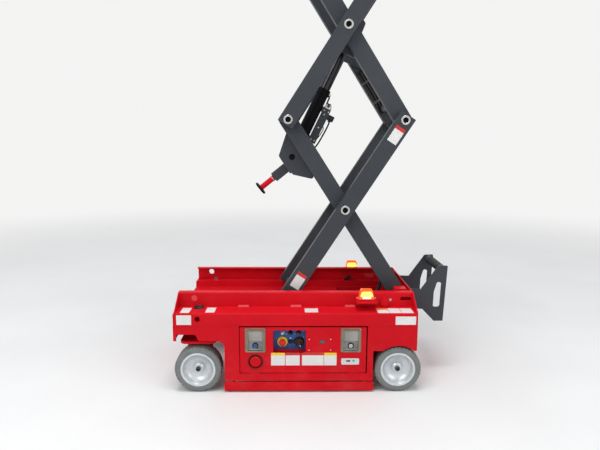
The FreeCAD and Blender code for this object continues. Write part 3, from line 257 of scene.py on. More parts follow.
red_paint = paint("red_paint", (0.64, 0.0075, 0.0165), (0.56, 0.006, 0.0135), 0.36, 0.1, 0.05, 0.06)
grey_paint = paint("grey_paint", (0.054, 0.059, 0.068), (0.044, 0.048, 0.056), 0.4, 0.12, 0.03, 0.14)
black_paint = paint("black_paint", (0.005, 0.005, 0.006), (0.003, 0.003, 0.004), 0.4, 0.06, 0.01, 0.06)
# pale red on the deck tabs is painted highlight
pale_red = paint("pale_red", (0.66, 0.06, 0.075), (0.58, 0.045, 0.06), 0.34, 0.08, 0.05, 0.1)
print("coats", [coat.name for coat in (red_paint, grey_paint, black_paint, pale_red)])

# %% [markdown]
# ## Rubber, plastic, metal and lamp glass
# The solid tyres are pale grey rubber that leaves no marks, scuffed and floor-dusty
# on the tread. Machined steel shows fine turning lines and a cloudy sheen. The rod
# is polished chrome, coloured near black as painted shade and painted dark reflection.
# The beacons are amber plastic, lit from inside.

# %% Rubber
def rubber():
    """Pale tyre rubber: mottled, floor grime on the tread, fine grain."""
    f = new_finish("tyre_rubber")
    mottle = f.noise(22, 5, 0.6)
    grime = f.step(f.noise(60, 5, 0.7), 0.5, 0.75)
    tone = f.blend(f.step(mottle, 0.3, 0.7), (0.17, 0.178, 0.176), (0.205, 0.214, 0.21))
    tone = f.blend(0.35 * grime, tone, (0.115, 0.118, 0.114))
    return f.surface(Base_Color=tone, Roughness=0.66 + 0.12 * grime, Specular_IOR_Level=0.3,
                     Normal=f.bump(f.noise(300, 4) + 0.6 * mottle, 0.22))


tyre_rubber = rubber()
print("rubber", tyre_rubber.name)


# %% Plain plastics and sticker films
def plastic(name, colour, rough, grain, wear=0.12):
    """Moulded plastic or a printed film: fine grain and faint rub marks."""
    f = new_finish(name)
    rub = f.step(f.noise(30, 5, 0.65), 0.5, 0.78)
    pale = tuple(min(1, c * 1.35 + 0.012) for c in colour)
    return f.surface(Base_Color=f.blend(wear * rub, colour, pale), Roughness=rough + 0.15 * rub,
                     Specular_IOR_Level=0.3, Normal=f.bump(f.noise(900, 2), grain, round_edges=0.0006))


black_plastic = plastic("black_plastic", (0.012, 0.012, 0.013), 0.46, 0.25, 0.2)
blue_panel = plastic("blue_panel", (0.03, 0.105, 0.33), 0.45, 0.1)
yellow_plastic = plastic("yellow_plastic", (0.82, 0.56, 0.02), 0.38, 0.08)
red_plastic = plastic("red_plastic", (0.62, 0.015, 0.015), 0.3, 0.06)
white_plastic = plastic("white_plastic", (0.78, 0.78, 0.76), 0.4, 0.06)
green_plastic = plastic("green_plastic", (0.05, 0.42, 0.12), 0.35, 0.05)
# dark red is painted shade in the stop button's cup, and the own colour of one switch boot
dark_red = plastic("dark_red", (0.16, 0.01, 0.01), 0.36, 0.05)
display_grey = plastic("display_grey", (0.1, 0.11, 0.1), 0.2, 0.02)
pale_trim = plastic("pale_trim", (0.62, 0.62, 0.64), 0.3, 0.03)
FILMS = [plastic(name, colour, 0.34, 0.03, 0.25) for name, colour in (
    ("white_film", (0.72, 0.72, 0.7)), ("yellow_film", (0.86, 0.56, 0.02)),
    ("red_film", (0.6, 0.03, 0.02)), ("orange_film", (0.82, 0.2, 0.02)))]
WHITE, YELLOW, RED, ORANGE = range(len(FILMS))
print("films", [film.name for film in FILMS])


# %% Metals
def metal(name, colour, rough, lines, stretch=(1, 1, 1)):
    """Bare metal: cloudy sheen and fine working lines."""
    f = new_finish(name)
    cloud = f.noise(18, 4)
    line = f.noise(240, 3, 0.6, stretch)
    dark = tuple(c * 0.78 for c in colour)
    return f.surface(Base_Color=f.blend(f.step(cloud, 0.35, 0.7), colour, dark), Metallic=0.92,
                     Roughness=(rough + 0.16 * cloud + 0.08 * line).clamped(), Normal=f.bump(line, lines))


def rim_paint():
    """Silver wheel paint, even and bright, with a little dust in its dish."""
    f = new_finish("rim_silver")
    speck = f.noise(40, 4, 0.6)
    tone = f.blend(f.step(speck, 0.4, 0.8), (0.66, 0.69, 0.71), (0.56, 0.59, 0.6))
    return f.surface(Base_Color=tone, Metallic=0.6, Roughness=0.3 + 0.12 * speck,
                     Normal=f.bump(f.noise(380, 3), 0.06, round_edges=0.001))


steel = metal("steel", (0.56, 0.56, 0.55), 0.28, 0.1, (1, 0.2, 1))
# the chrome rod's near-black colour is painted shade and painted dark reflection
chrome_rod = metal("chrome_rod", (0.045, 0.045, 0.05), 0.12, 0.02, (1, 0.2, 1))
zinc = metal("zinc", (0.6, 0.6, 0.54), 0.34, 0.06)
yellow_zinc = metal("yellow_zinc", (0.25, 0.225, 0.165), 0.36, 0.06)
dark_steel = metal("dark_steel", (0.1, 0.1, 0.105), 0.42, 0.08)
zinc_dark = metal("zinc_dark", (0.27, 0.275, 0.27), 0.42, 0.1)
satin_zinc = metal("satin_zinc", (0.36, 0.355, 0.33), 0.3, 0.05, (1, 0.3, 1))
rim_silver = rim_paint()
print("materials so far", len(bpy.data.materials))


# %% Lamp glass
def lamp_glass(name, colour, bright, dim, power, bars):
    """Lit plastic with moulded bars across it; the bars glow less than what is between them."""
    f = new_finish(name)
    bar = f.wave(bars, "X")
    return f.surface(Base_Color=colour, Roughness=0.2, Emission_Color=f.blend(bar, dim, bright),
                     Emission_Strength=power, Normal=f.bump(bar, 0.12))


amber_lens = lamp_glass("amber_lens", (0.8, 0.1, 0.01), (0.95, 0.14, 0.01), (0.9, 0.08, 0.01), 0.55, 30)
lamp_window = lamp_glass("lamp_window", (0.9, 0.62, 0.05), (1, 0.93, 0.2), (1, 0.62, 0.03), 1.5, 25)
# the pale glowing strip under each beacon window is a painted reflection
painted_reflection_strip = lamp_glass("painted_reflection_strip", (0.9, 0.8, 0.6), (1, 0.9, 0.62), (1, 0.84, 0.5), 1.1, 25)
print("finishes", len(bpy.data.materials))

# %% [markdown]
# ## The floor
# The machine stands on a plain pale floor. It runs far behind the machine and
# fades into the pale world there, as a studio sweep does, so no horizon cuts the
# picture: the share of the fade is the distance from the machine's middle.

# %% Floor
FLOOR_HALF, FADE_FROM, FADE_TO = 30, 2, 8


def floor_finish():
    """A pale sheet, softly mottled, that fades to the world's tone far out."""
    f = new_finish("pale_floor")
    cloud = f.noise(1.4, 4)
    tone = f.blend(f.step(cloud, 0.3, 0.7), (0.76, 0.76, 0.755), (0.73, 0.73, 0.725))
    away = f.node("VectorMath", {0: f.coords()}, out="Value", operation="LENGTH")
    sheet = f.node("BsdfPrincipled", {"Base Color": tone, "Roughness": 0.7 + 0.1 * cloud,
                                      "Specular IOR Level": 0.2})
    far = f.node("Emission", {"Color": HORIZON})
    return f.end(f.node("MixShader", {0: f.step(away, FADE_FROM, FADE_TO), 1: sheet, 2: far}))


mesh = bpy.data.meshes.new("studio_floor")
corners = [(x * FLOOR_HALF, y * FLOOR_HALF, 0) for x, y in ((-1, -1), (1, -1), (1, 1), (-1, 1))]
mesh.from_pydata(corners, [], [(0, 1, 2, 3)])
mesh.materials.append(floor_finish())
floor = bpy.data.objects.new("studio_floor", mesh)
scene.collection.objects.link(floor)
print("floor", 2 * FLOOR_HALF, "m wide")

# %% [markdown]
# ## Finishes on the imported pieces
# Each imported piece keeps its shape, which is already right, and only trades its
# plain colour for a finish. A table keeps the choice of finish beside the name.

# %% Finishes by piece
WHEELS = {"front_left": (-582.5, -1), "front_right": (-582.5, 1), "rear_left": (400.5, -1),
          "rear_right": (400.5, 1)}
FINISH_OF = {
    red_paint: """main_frame front_plate rear_plate kingpin_housings stack_anchors deck_left deck_right
        side_left side_right rest_post door_left door_right guard_left guard_right yoke_left yoke_right
        control_panel""",
    grey_paint: """ladder inner_1 outer_1 inner_2 outer_2 inner_3 outer_3 lift_bracket valve_block
        platform_deck guardrail_left guardrail_right gate extension_deck extension_rail""",
    black_paint: "cylinder_barrel",
    black_plastic: "batteries hydraulic_unit rollers_bottom rollers_top control_box",
    steel: "drive_motors tie_rod",
    yellow_zinc: "latches_left latches_right",
    chrome_rod: "cylinder_rod",
    amber_lens: "beacons",
    tyre_rubber: "tyre_front_left tyre_front_right tyre_rear_left tyre_rear_right",
    rim_silver: "rim_front_left rim_front_right rim_rear_left rim_rear_right",
}


def dress(node, material):
    """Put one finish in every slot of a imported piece."""
    piece = nodes[node]
    if not piece.material_slots:
        piece.data.materials.append(material)
    for slot in piece.material_slots:
        slot.material = material


for material, names in FINISH_OF.items():
    for name in names.split():
        dress(name, material)
    print(material.name, "on", len(names.split()), "pieces")

# %% [markdown]
# ## Helpers for small pieces
# Fittings are drawn in millimetres on their own little drawing board: a matrix
# says where the board lies on the machine, its Z pointing out of the surface and
# its Y up it. Two helpers draw most of them, one turning a profile as on a lathe
# and one cutting a plate with round corners. Like fittings join in one mesh.

# %% The drawing board
MM = 0.001
NEAR, UP, REAR, ACROSS = (0, -1, 0), (0, 0, 1), (1, 0, 0), (0, 1, 0)
SIDES = {-1: "left", 1: "right"}


def board(at, out=NEAR, up=UP):
    """A drawing board in millimetres at a point, facing out."""
    z = Vector(out).normalized()
    x = Vector(up).cross(z).normalized()
    turn = Matrix((x, z.cross(x), z)).transposed().to_4x4()
    return Matrix.Translation(Vector(at) * MM) @ turn @ Matrix.Scale(MM, 4)


def side_board(x, y, z, side, up=UP):
    """A board that faces out of the left (-1) or right (1) side."""
    return board((x, side * y, z), (0, side, 0), up)


def flat_board(x, y, z):
    """A board that lies face up."""
    return board((x, y, z), UP, ACROSS)


def shift(at, x=0, y=0, z=0):
    """A board moved by its own millimetres."""
    return at @ Matrix.Translation((x, y, z))


def new_piece(name, bm, body, *materials, slot=None, crease=32):
    """Make drawn geometry a piece that rides on a body; the slot argument is not used."""
    bmesh.ops.recalc_face_normals(bm, faces=bm.faces)
    mesh = bpy.data.meshes.new(name)
    bm.to_mesh(mesh)
    bm.free()
    for material in materials:
        mesh.materials.append(material)
    mesh.polygons.foreach_set("use_smooth", [True] * len(mesh.polygons))
    mesh.set_sharp_from_angle(angle=math.radians(crease))
    obj = bpy.data.objects.new(name, mesh)
    scene.collection.objects.link(obj)
    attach(obj, body)
    print(name, "on", body, "with", len(mesh.polygons), "faces")
    return obj


# %% Turning and cutting
def circle(radius, steps):
    """Points round a circle."""
    angles = (math.tau * i / steps for i in range(steps))
    return [Vector((radius * math.cos(a), radius * math.sin(a))) for a in angles]


def skin(bm, rings, paint=0):
    """Faces from each ring of corners to the next; a ring may be a single point."""
    for low, high in zip(rings, rings[1:]):
        steps = max(len(low), len(high))
        for i in range(steps):
            j = (i + 1) % steps
            corners = [low[i % len(low)], low[j % len(low)], high[j % len(high)], high[i % len(high)]]
            bm.faces.new(list(dict.fromkeys(corners))).material_index = paint


def ring_at(bm, at, points, height):
    """Corners of an outline at a height over a board."""
    return [bm.verts.new(at @ Vector((p.x, p.y, height))) for p in points]


def turned(bm, at, profile, steps=32, paint=0):
    """Turn (radius, height) points round a board's Z; a radius of 0 closes the end."""
    skin(bm, [ring_at(bm, at, circle(radius, steps if radius else 1), height) for radius, height in profile],
         paint)


def corner_points(width, height, radius, steps=5):
    """The outline of a rectangle with round corners."""
    points = []
    for i, (sx, sy) in enumerate(((1, 1), (-1, 1), (-1, -1), (1, -1))):
        centre = Vector((sx * (width / 2 - radius), sy * (height / 2 - radius)))
        for k in range(steps + 1):
            a = math.pi / 2 * (i + k / steps)
            points.append(centre + radius * Vector((math.cos(a), math.sin(a))))
    return points


def plate(bm, at, points, low, high, edge=0.4, paint=0):
    """A plate from an outline, its front edge eased."""
    middle = sum(points, Vector((0, 0))) / len(points)
    rings = []
    for height, inset in ((low, 0), (high - edge, 0), (high, edge)):
        ways = [p - middle for p in points]
        shrunk = [middle + way * max(0, 1 - inset / max(way.length, 1e-6)) for way in ways]
        rings.append(ring_at(bm, at, shrunk, height))
    skin(bm, rings, paint)
    bm.faces.new(rings[-1]).material_index = paint
    bm.faces.new(rings[0][::-1]).material_index = paint


def pad(bm, at, size, low, high, edge=0.4, paint=0, steps=5):
    """A plate with round corners; its size is width, height and corner radius."""
    plate(bm, at, corner_points(*size, steps), low, high, edge, paint)


def hexagon(size):
    """The outline of a bolt head by its width across flats."""
    return circle(size / math.sqrt(3), 6)


def bolt(bm, at, size, head, paint):
    """A hexagon head on its washer."""
    turned(bm, at, [(0, 0), (0.68 * size, 0), (0.68 * size, 1.6), (0, 1.6)], 20, paint)
    plate(bm, at, hexagon(size), 1.6, 1.6 + head, 0.08 * size, paint)


print("outline of a round-cornered plate has", len(corner_points(40, 20, 4)), "points")

# %% [markdown]
# ## Tyres
# A slab tyre has a shallow tread: short slots cut in from each shoulder, so its
# edge looks toothed from the side. The solid from CAD is a plain ring, so a finer
# ring of the same size stands for it. It is wrapped from one section, and the
# section's shoulder points sink a little wherever a slot passes.

# %% Tyres
TYRE_R, WHEEL_Y, LIP_Y = 115, 335, 372
SLOTS = 36
SLOT_PHASES = ((0, 0), (0.06, 1), (0.22, 1), (0.28, 0))
HALF_SECTION = ((-37, 86, 0), (-39.7, 89.5, 0), (-40, 104.5, 0.3), (-38.6, 108.6, 2.4),
                (-33.6, 114.2, 3.2), (-27, 115, 2.8), (-16, 115, 0))  # across, radius, sink
SECTION = [*HALF_SECTION, *((-across, radius, sink) for across, radius, sink in reversed(HALF_SECTION))]

for wheel, (x, side) in WHEELS.items():
    at = side_board(x, WHEEL_Y, TYRE_R, side)
    bm = bmesh.new()
    rings = []
    for i in range(SLOTS):
        for phase, cut in SLOT_PHASES:
            a = math.tau * (i + phase) / SLOTS
            places = [(radius - cut * sink, across) for across, radius, sink in SECTION]
            rings.append([bm.verts.new(at @ Vector((r * math.cos(a), r * math.sin(a), across)))
                          for r, across in places])
    skin(bm, rings + rings[:1])
    made = new_piece("tread_" + wheel, bm, "wheel_" + wheel, tyre_rubber, slot="tyre", crease=24)
    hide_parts("tyre_" + wheel)

# %% [markdown]
# ## Wheel centres
# The rim's lip and hub come from CAD. The dish is pressed in one sweep, so a thin
# bowl curves down from the lip to the hub over the plain steps of the solid. The
# rolled bead of the lip, the weld at the foot of the hub and the washer and nut on
# the spindle are turned too. The spindle's centre hole is a shallow recess painted
# black as painted shade.

# %% Wheel nuts
BEAD = [(86, -2), (86, 0.8), (84.8, 1.5), (83.4, 0.8), (83, -0.4)]
STEP = [(76.8, 0.2), (75.9, 0.4), (75, -0.6), (74.6, -2.2)]
BOWL = [(72.4, -7.6), (69.5, -14), (65, -21), (58.5, -27.5), (50, -32.8), (40, -36.4), (30, -38.2),
        (25.8, -38.6)]
WELD = [(31, -38.6), (29.6, -37), (27.4, -36.4), (26, -34.6)]
WASHER = [(17.6, -16.6), (17.6, -14.2), (16.8, -13.6), (8, -13.6)]
SPINDLE = [(8.4, -6), (8.4, -2), (7.6, -0.8), (6, -0.8)]
CENTRE_HOLE = [(6, -0.8), (5.6, -4.4), (0, -4.6)]
NUT_TURN = 0.3

for wheel, (x, side) in WHEELS.items():
    at = side_board(x, LIP_Y, TYRE_R, side)
    bm = bmesh.new()
    for profile, steps in ((BEAD, 72), (STEP, 72), (BOWL, 72), (WELD, 48), (WASHER, 40)):
        turned(bm, at, profile, steps)
    plate(bm, at @ Matrix.Rotation(NUT_TURN, 4, "Z"), hexagon(23), -13.8, -4.6, 1.4, 1)
    turned(bm, at, SPINDLE, 28, 1)
    # the centre hole is painted black as painted shade
    turned(bm, at, CENTRE_HOLE, 20, 2)
    new_piece("hub_" + wheel, bm, "wheel_" + wheel, rim_silver, dark_steel, black_plastic,
              slot="rim_silver")

# %% [markdown]
# ## Pin ends of the scissor arms
# Every joint of the stack shows a bright machined ring round the dark end of its
# pin. The rings are turned pieces pressed into the outer arms, so each set rides
# on its arm. The pin heads sit a few millimetres deep in them.

# %% Pin rings
ARM_L, REST = 1066, math.radians(57.1)
PIN_X, PIN_Z, FACE_Y = 435, 434, 190
COS, SIN = math.cos(REST), math.sin(REST)
LEVEL_H, SLIDE_X = ARM_L * SIN, PIN_X - ARM_L * COS
RING = [(14.2, 1.2), (14.2, 2.9), (15.2, 3.6), (21.6, 3.6), (22.8, 2.6), (22.8, 0)]
PIN_END = [(0, -3.2), (3, -3.2), (3, -2), (4, -1.6), (12.6, -1.6), (13.8, -2.6)]


def outer_point(level, u, n=0):
    """A point in X and Z along and off an outer arm, which leans up to the rear."""
    return SLIDE_X + u * COS - n * SIN, PIN_Z + (level - 1) * LEVEL_H + u * SIN + n * COS


def inner_point(level, u, n=0):
    """A point in X and Z along and off an inner arm, which leans up to the front."""
    return PIN_X - u * COS - n * SIN, PIN_Z + (level - 1) * LEVEL_H + u * SIN - n * COS


for level in (1, 2, 3):
    bm = bmesh.new()
    for u in (0, ARM_L / 2, ARM_L):
        x, z = outer_point(level, u)
        for side in SIDES:
            at = side_board(x, FACE_Y, z, side)
            turned(bm, at, RING, 40)
            turned(bm, at, PIN_END, 32, 1)
    new_piece(f"pin_rings_{level}", bm, f"outer_{level}", steel, black_paint, slot="steel")

# %% [markdown]
# ## Blank stickers
# Instruction stickers sit on the door, the edge bands, the ledges and the arms. They
# stay blank: a white film with a plain coloured head where the real one has one. A
# film has a real thickness, so each is a plate a third of a millimetre thick with
# a second one for its head, and stickers on one body join in one mesh.

# %% Stickers on door, bands and ledges
DOOR_FACE, BAND_FACE, LEDGE = 378, 380, 404
DOOR_STICKERS = (((-224, -156), (140, 205), YELLOW), ((-153, -84), (140, 205), RED),
                 ((-73, 33), (140, 205), RED), ((35, 96), (140, 205), YELLOW))
BAND_STICKERS = (((-678, -607), (348, 396), WHITE), ((379, 478), (348, 390), WHITE))
LEDGE_STICKERS = (((-663, -619), (294, 368), WHITE), ((-543, -498), (290, 362), WHITE),
                  ((-60, 6), (301, 361), WHITE), ((295, 350), (300, 371), ORANGE),
                  ((352, 410), (300, 371), WHITE), ((412, 469), (300, 371), WHITE))


def sticker(bm, at, width, height, head=WHITE, share=0.2):
    """A white film with round corners and, where it has one, a coloured head."""
    pad(bm, at, (width, height, 1.5), 0, 0.35, 0.15, WHITE)
    if head != WHITE:
        tall = height * share
        pad(bm, shift(at, 0, (height - tall) / 2), (width, tall, 1.2), 0.3, 0.5, 0.08, head, 2)


def upright_stickers(bm, rows, side, face):
    """Stickers on a side face from rows of X span, Z span and head."""
    for (x0, x1), (z0, z1), head in rows:
        sticker(bm, side_board((x0 + x1) / 2, face, (z0 + z1) / 2, side), x1 - x0, z1 - z0, head)


bm = bmesh.new()
for side in SIDES:
    upright_stickers(bm, BAND_STICKERS, side, BAND_FACE)
    for (x0, x1), (y0, y1), head in LEDGE_STICKERS:
        at = board(((x0 + x1) / 2, side * (y0 + y1) / 2, LEDGE), UP, (0, -side, 0))
        sticker(bm, at, x1 - x0, y1 - y0, head, 0.3)
new_piece("stickers_chassis", bm, "chassis", *FILMS)
for side, rows in ((-1, DOOR_STICKERS), (1, DOOR_STICKERS[2:])):
    bm = bmesh.new()
    upright_stickers(bm, rows, side, DOOR_FACE)
    new_piece("stickers_door_" + SIDES[side], bm, "door_" + SIDES[side], *FILMS)

# %% Stickers on the arms
STICKER_U = (97, 981)

bm = bmesh.new()
for u in STICKER_U:
    x, z = outer_point(1, u, -2)
    for side in SIDES:
        sticker(bm, side_board(x, FACE_Y, z, side, (COS, 0, SIN)), 52, 86, RED)
new_piece("stickers_arms", bm, "outer_1", *FILMS)

# %% [markdown]
# ## Ground controls
# The pocket in the left door holds the ground controls on a blue face plate: a red
# mushroom button in its yellow collar, a black rotary switch, a key switch, two
# small switches in rubber boots and a toggle. CAD has their plain forms, so these
# are shells that fit closely over them, each turned or cut on a board at the back
# of the pocket. Under each sits a short pale mark with no lettering.

# %% Face plate and switches
POCKET_BACK = 333
KNOB_TURN = math.radians(24)
BLUE, COLLAR, BUTTON, BLACK, KEY, PALE, BOOT = range(7)
SWITCHES = ((-129, 292, BLACK), (-90, 292, BOOT), (-129, 246, BLACK))
MARKS = ((-150, 306, 7, 2.2), (-108, 306, 9, 2.2), (-68, 298, 5, 2.2), (-150, 283, 5, 1.8),
         (-108, 283, 6, 1.8), (-198, 262, 4, 2), (-64, 268, 4, 2), (-110, 228, 6, 1.8))


def panel_board(x, z):
    """A board on the back of the control pocket."""
    return board((x, -POCKET_BACK, z))


bm = bmesh.new()
pad(bm, panel_board(-134, 262.5), (159, 114, 7), 0, 1.2, 0.5, BLUE)
stop = panel_board(-169, 246)
turned(bm, stop, [(25.6, 1), (25.6, 6), (24.6, 8.2), (22.6, 8.9), (12, 9.2)], 44, COLLAR)
turned(bm, stop, [(9, 8.6), (9, 12.6), (14.6, 13.4), (16.6, 15.4), (17, 20), (16.4, 24.6), (13, 27.2),
                  (6, 28.2), (0, 28.4)], 40, BUTTON)
knob = panel_board(-88, 245) @ Matrix.Rotation(KNOB_TURN, 4, "Z")
turned(bm, knob, [(27, 1), (27, 3), (25, 4.4), (23.4, 5.2), (23, 14.2), (21.6, 15.4), (0, 15.8)], 44, BLACK)
pad(bm, knob, (14, 42, 5), 14.6, 26, 1.6, BLACK)
pad(bm, shift(knob, 0, -15), (2.4, 9, 1), 25.8, 26.4, 0.2, PALE, 2)
key = panel_board(-169, 292)
turned(bm, key, [(10.6, 1), (10.6, 3), (9.6, 4), (8, 4.4), (7.6, 16.2), (6.4, 17.2), (0, 17.4)], 28, KEY)
pad(bm, shift(key, 0, 0, 17), (1.6, 9, 0.7), 0, 0.7, 0.1, BLACK, 2)
for x, z, boot in SWITCHES:
    at = panel_board(x, z)
    turned(bm, at, [(11.4, 1), (11.4, 3.2), (9.8, 5), (8.4, 6.4)], 28, BLACK)
    turned(bm, at, [(8.6, 5), (8.2, 9), (7.4, 12), (7.6, 16.4), (6, 18.2), (0, 18.8)], 24, boot)
turned(bm, panel_board(-129, 263), [(3.6, 1), (3.6, 2.6), (2.4, 3.4), (0, 3.6)], 16, PALE)
for x, z, wide, high in MARKS:
    pad(bm, panel_board(x, z), (wide, high, 0.8), 1.1, 1.5, 0.1, PALE, 2)
new_piece("ground_controls", bm, "chassis", blue_panel, yellow_plastic, red_plastic, black_plastic, zinc,
          FILMS[WHITE], dark_red)

# %% [markdown]
# ## Latches
# Each flush latch is a yellow-zinc dish: a satin paddle fills its upper half and a
# darker plate below it carries the key cylinder. CAD holds these forms, so what is
# added here is the flange's skin, the rolled rim, the paddle's skin, the lock's
# face and the rivets. The rolled inner rim and a lip along the bottom of the lock
# are paler satin as painted highlight. The front lock has a blue cap, the rear ones are bare.

# %% Latch details
LATCH_X, LATCH_Z = (-300.5, 165), 264
PADDLE_Z, LOCK_Z, FLANGE_RISE = 287, 239, 5.5
DISH, LOCK_PLATE, SATIN, DARK, BARE, BLUE_CAP = range(6)
CORNERS = tuple((sx, sy) for sx in (-1, 1) for sy in (-1, 1))


def frame_plate(bm, at, outer, inner, low, high, paint):
    """A flat frame between two round-cornered rectangles."""
    outer, inner = corner_points(*outer), corner_points(*inner)
    rings = [ring_at(bm, at, points, height)
             for points, height in ((outer, low), (outer, high), (inner, high), (inner, low))]
    skin(bm, rings + rings[:1], paint)


def latch_skin(bm, x, side, cap):
    """The flange, paddle skin, lock plate, key cylinder and rivets of one latch."""
    face = side_board(x, DOOR_FACE, LATCH_Z, side)
    flange = shift(face, 0, FLANGE_RISE)
    frame_plate(bm, flange, (99, 123, 9), (96, 120, 8), 0, 1.5, DISH)
    frame_plate(bm, flange, (97.5, 121.5, 8), (88, 110, 7), 1.3, 1.9, DISH)
    # paler satin on the rolled inner rim is painted highlight
    frame_plate(bm, face, (79, 101, 6), (74, 96, 3), 0.6, 2, SATIN)
    paddle = side_board(x + 1.5, DOOR_FACE, PADDLE_Z, side)
    pad(bm, paddle, (66, 47, 3), -1.4, -0.3, 0.5, SATIN)
    pad(bm, shift(paddle, 0, -21), (64, 5, 2), -0.5, 0.6, 0.4, SATIN, 3)
    lock = side_board(x, DOOR_FACE, LOCK_Z, side)
    pad(bm, lock, (72, 39, 3), -8.6, -7.6, 0.4, LOCK_PLATE)
    # paler satin lip along the bottom of the lock recess is painted highlight
    pad(bm, shift(lock, 0, -17.4), (70, 7, 2), -7.8, -3, 1, SATIN, 3)
    turned(bm, lock, [(15, -7.8), (15, -5), (13, -3.6), (9.6, -3.2)], 32, DARK)
    turned(bm, lock, [(9.5, -3.6), (9.5, -1.4), (8.4, -0.4), (0, -0.2)], 28, cap)
    pad(bm, lock, (2, 9, 0.8), -0.3, 0.2, 0.1, DARK, 2)
    for sx, sy in CORNERS:
        turned(bm, shift(flange, sx * 43.5, sy * 55), [(3.2, 0.4), (3, 1.6), (1.6, 1.95), (0, 2)], 14, BARE)


for side, name in SIDES.items():
    bm = bmesh.new()
    for x in LATCH_X:
        latch_skin(bm, x, side, BLUE_CAP if side < 0 and x == LATCH_X[0] else BARE)
    new_piece("latch_skins_" + name, bm, "door_" + name, yellow_zinc, zinc_dark, satin_zinc, black_plastic,
              steel, blue_panel, slot="steel")

# %% [markdown]
# ## Fittings on the door
# Below the front latch the red stop button sits in its red cup, which is painted dark
# red as painted shade in the recess. On the right are a tiny hour meter between four
# rivets and a charge light: a pale label with a small dark display and a green lamp.
# They ride on the door.

# %% Door fittings
CUP_SHADE, BUTTON, TRIM, DISPLAY, BLACK, GREEN, METER = range(7)

bm = bmesh.new()
button = side_board(-300, DOOR_FACE, 159, -1)
# the cup is painted dark red as painted shade in the recess
turned(bm, button, [(41, 0), (40.6, 0.8), (38, 1), (35.4, 0.6), (34.9, -3)], 56, CUP_SHADE)
turned(bm, button, [(23, -5), (25.6, -3.6), (26, -1), (24.4, 1), (18, 1.9), (0, 2)], 48, BUTTON)
meter = side_board(26, DOOR_FACE, 261, -1)
pad(bm, meter, (26, 17, 1.6), 0, 1, 0.3, METER)
pad(bm, meter, (21, 12, 1), 0.9, 1.3, 0.1, DISPLAY)
for sx, sy in CORNERS:
    spot = shift(meter, sx * 52.5 - 12, sy * 27.5 - 15)
    turned(bm, spot, [(2.6, 0), (2.3, 0.9), (1.2, 1.4), (0, 1.5)], 14, TRIM)
label = side_board(163, DOOR_FACE, 160, -1)
pad(bm, label, (88, 32, 6), 0, 1.2, 0.5, TRIM)
pad(bm, shift(label, -9, 3), (20, 8, 1.5), 1.1, 1.6, 0.2, BLACK)
turned(bm, shift(label, 16, 4), [(6, 1.1), (5.6, 1.7), (4, 1.9), (0, 1.9)], 24, GREEN)
new_piece("door_fittings", bm, "door_left", dark_red, red_plastic, pale_trim, display_grey, black_plastic,
          green_plastic, grey_paint)

# %% [markdown]
# ## Beacons
# Each lamp is an orange moulding with a bright window of light bars on both long
# faces and a thin bezel. The paler glowing strip below the window is a painted
# reflection. Two pan-head screws hold its ears on the red foot. The window and strip
# are shallow plates that lie on the lens's sloping face, so they are drawn on a board
# tilted like it.

# %% Lamp windows
BEACON_X, BEACON_Y, LENS_MID_Z, EAR_TOP, FOOT_LOW = 244, 310.5, 483.5, 460, 450
LENS_HALF, LENS_SLOPE = 17, (47, 8)
WINDOW = [Vector(p) for p in ((28, -11), (31, -8), (23.5, 11), (20, 13.5), (-20, 13.5), (-23.5, 11),
                              (-31, -8), (-28, -11))]
SCREW = [(5.4, 0), (5.4, 2.2), (4.2, 4.2), (1.6, 4.8), (0, 4.8)]

bm = bmesh.new()
for side in SIDES:
    for face in (-1, 1):
        steep, lean = LENS_SLOPE
        at = board((BEACON_X, side * BEACON_Y + face * LENS_HALF, LENS_MID_Z), (0, face * steep, lean))
        plate(bm, at, WINDOW, 0, 1.6, 0.8, 1)
        # paler glowing strip below the window: painted reflection
        pad(bm, shift(at, 0, -17), (42, 8.5, 3), 0, 1.3, 0.6, 2)
        pad(bm, shift(at, 0, 20.6), (54, 2.6, 1.2), -0.4, 1.4, 0.5, 0, 3)
    for off in (-43, 43):
        turned(bm, flat_board(BEACON_X + off, side * BEACON_Y, EAR_TOP), SCREW, 20, 3)
    pad(bm, flat_board(BEACON_X, side * BEACON_Y, FOOT_LOW), (98.8, 46.8, 10.4), 0.2, 10.5, 0.8, 4)
new_piece("lamp_windows", bm, "chassis", amber_lens, lamp_window, painted_reflection_strip, steel, red_paint,
          slot="amber_lens")

# %% [markdown]
# ## Rest post and bracket
# The post that carries the folded stack is a red plunger with a black rubber foot,
# in a square socket painted like the arms. The imported post is one piece, so a thin
# shell lies over its socket and a cap over its foot. On both cheeks the holes of the
# cylinder's foot pin are filled with black discs as painted shade.

# %% Post and painted shade in the pin holes
FOOT_PIN, POST_ROOT, POST_TILT, CHEEK_Y = (902, 83), (870, 138), math.radians(6), 105
COLLAR = [(18.4, 85.6), (18.4, 88), (17.2, 89.2), (14.6, 89.2)]
RUBBER_FOOT = [(14.6, 173), (33, 174.2), (35.8, 175), (36.2, 176.4), (36.2, 183.2), (35, 184.6), (0, 184.6)]
PLUNGER_RING = [(14.6, 0), (16.6, 0.6), (16.6, 3.6), (14.6, 4.2)]
PIN_HOLE_SHADE = [(15.6, 0), (15.6, 0.7), (14.2, 1.4), (12.4, 1.4), (11.6, 0.6), (0, 0.6)]

bm = bmesh.new()
x, z = inner_point(1, *POST_ROOT)
lean = REST - POST_TILT
at = board((x, 0, z), (-math.sin(lean), 0, -math.cos(lean)), ACROSS)
pad(bm, at, (51.6, 51.6, 3), 3, 85.8, 1.2)
turned(bm, at, COLLAR, 36)
turned(bm, at, RUBBER_FOOT, 48, 1)
turned(bm, shift(at, 0, 0, 93), PLUNGER_RING, 32, 2)
FOOT_X, FOOT_Z = inner_point(1, *FOOT_PIN)
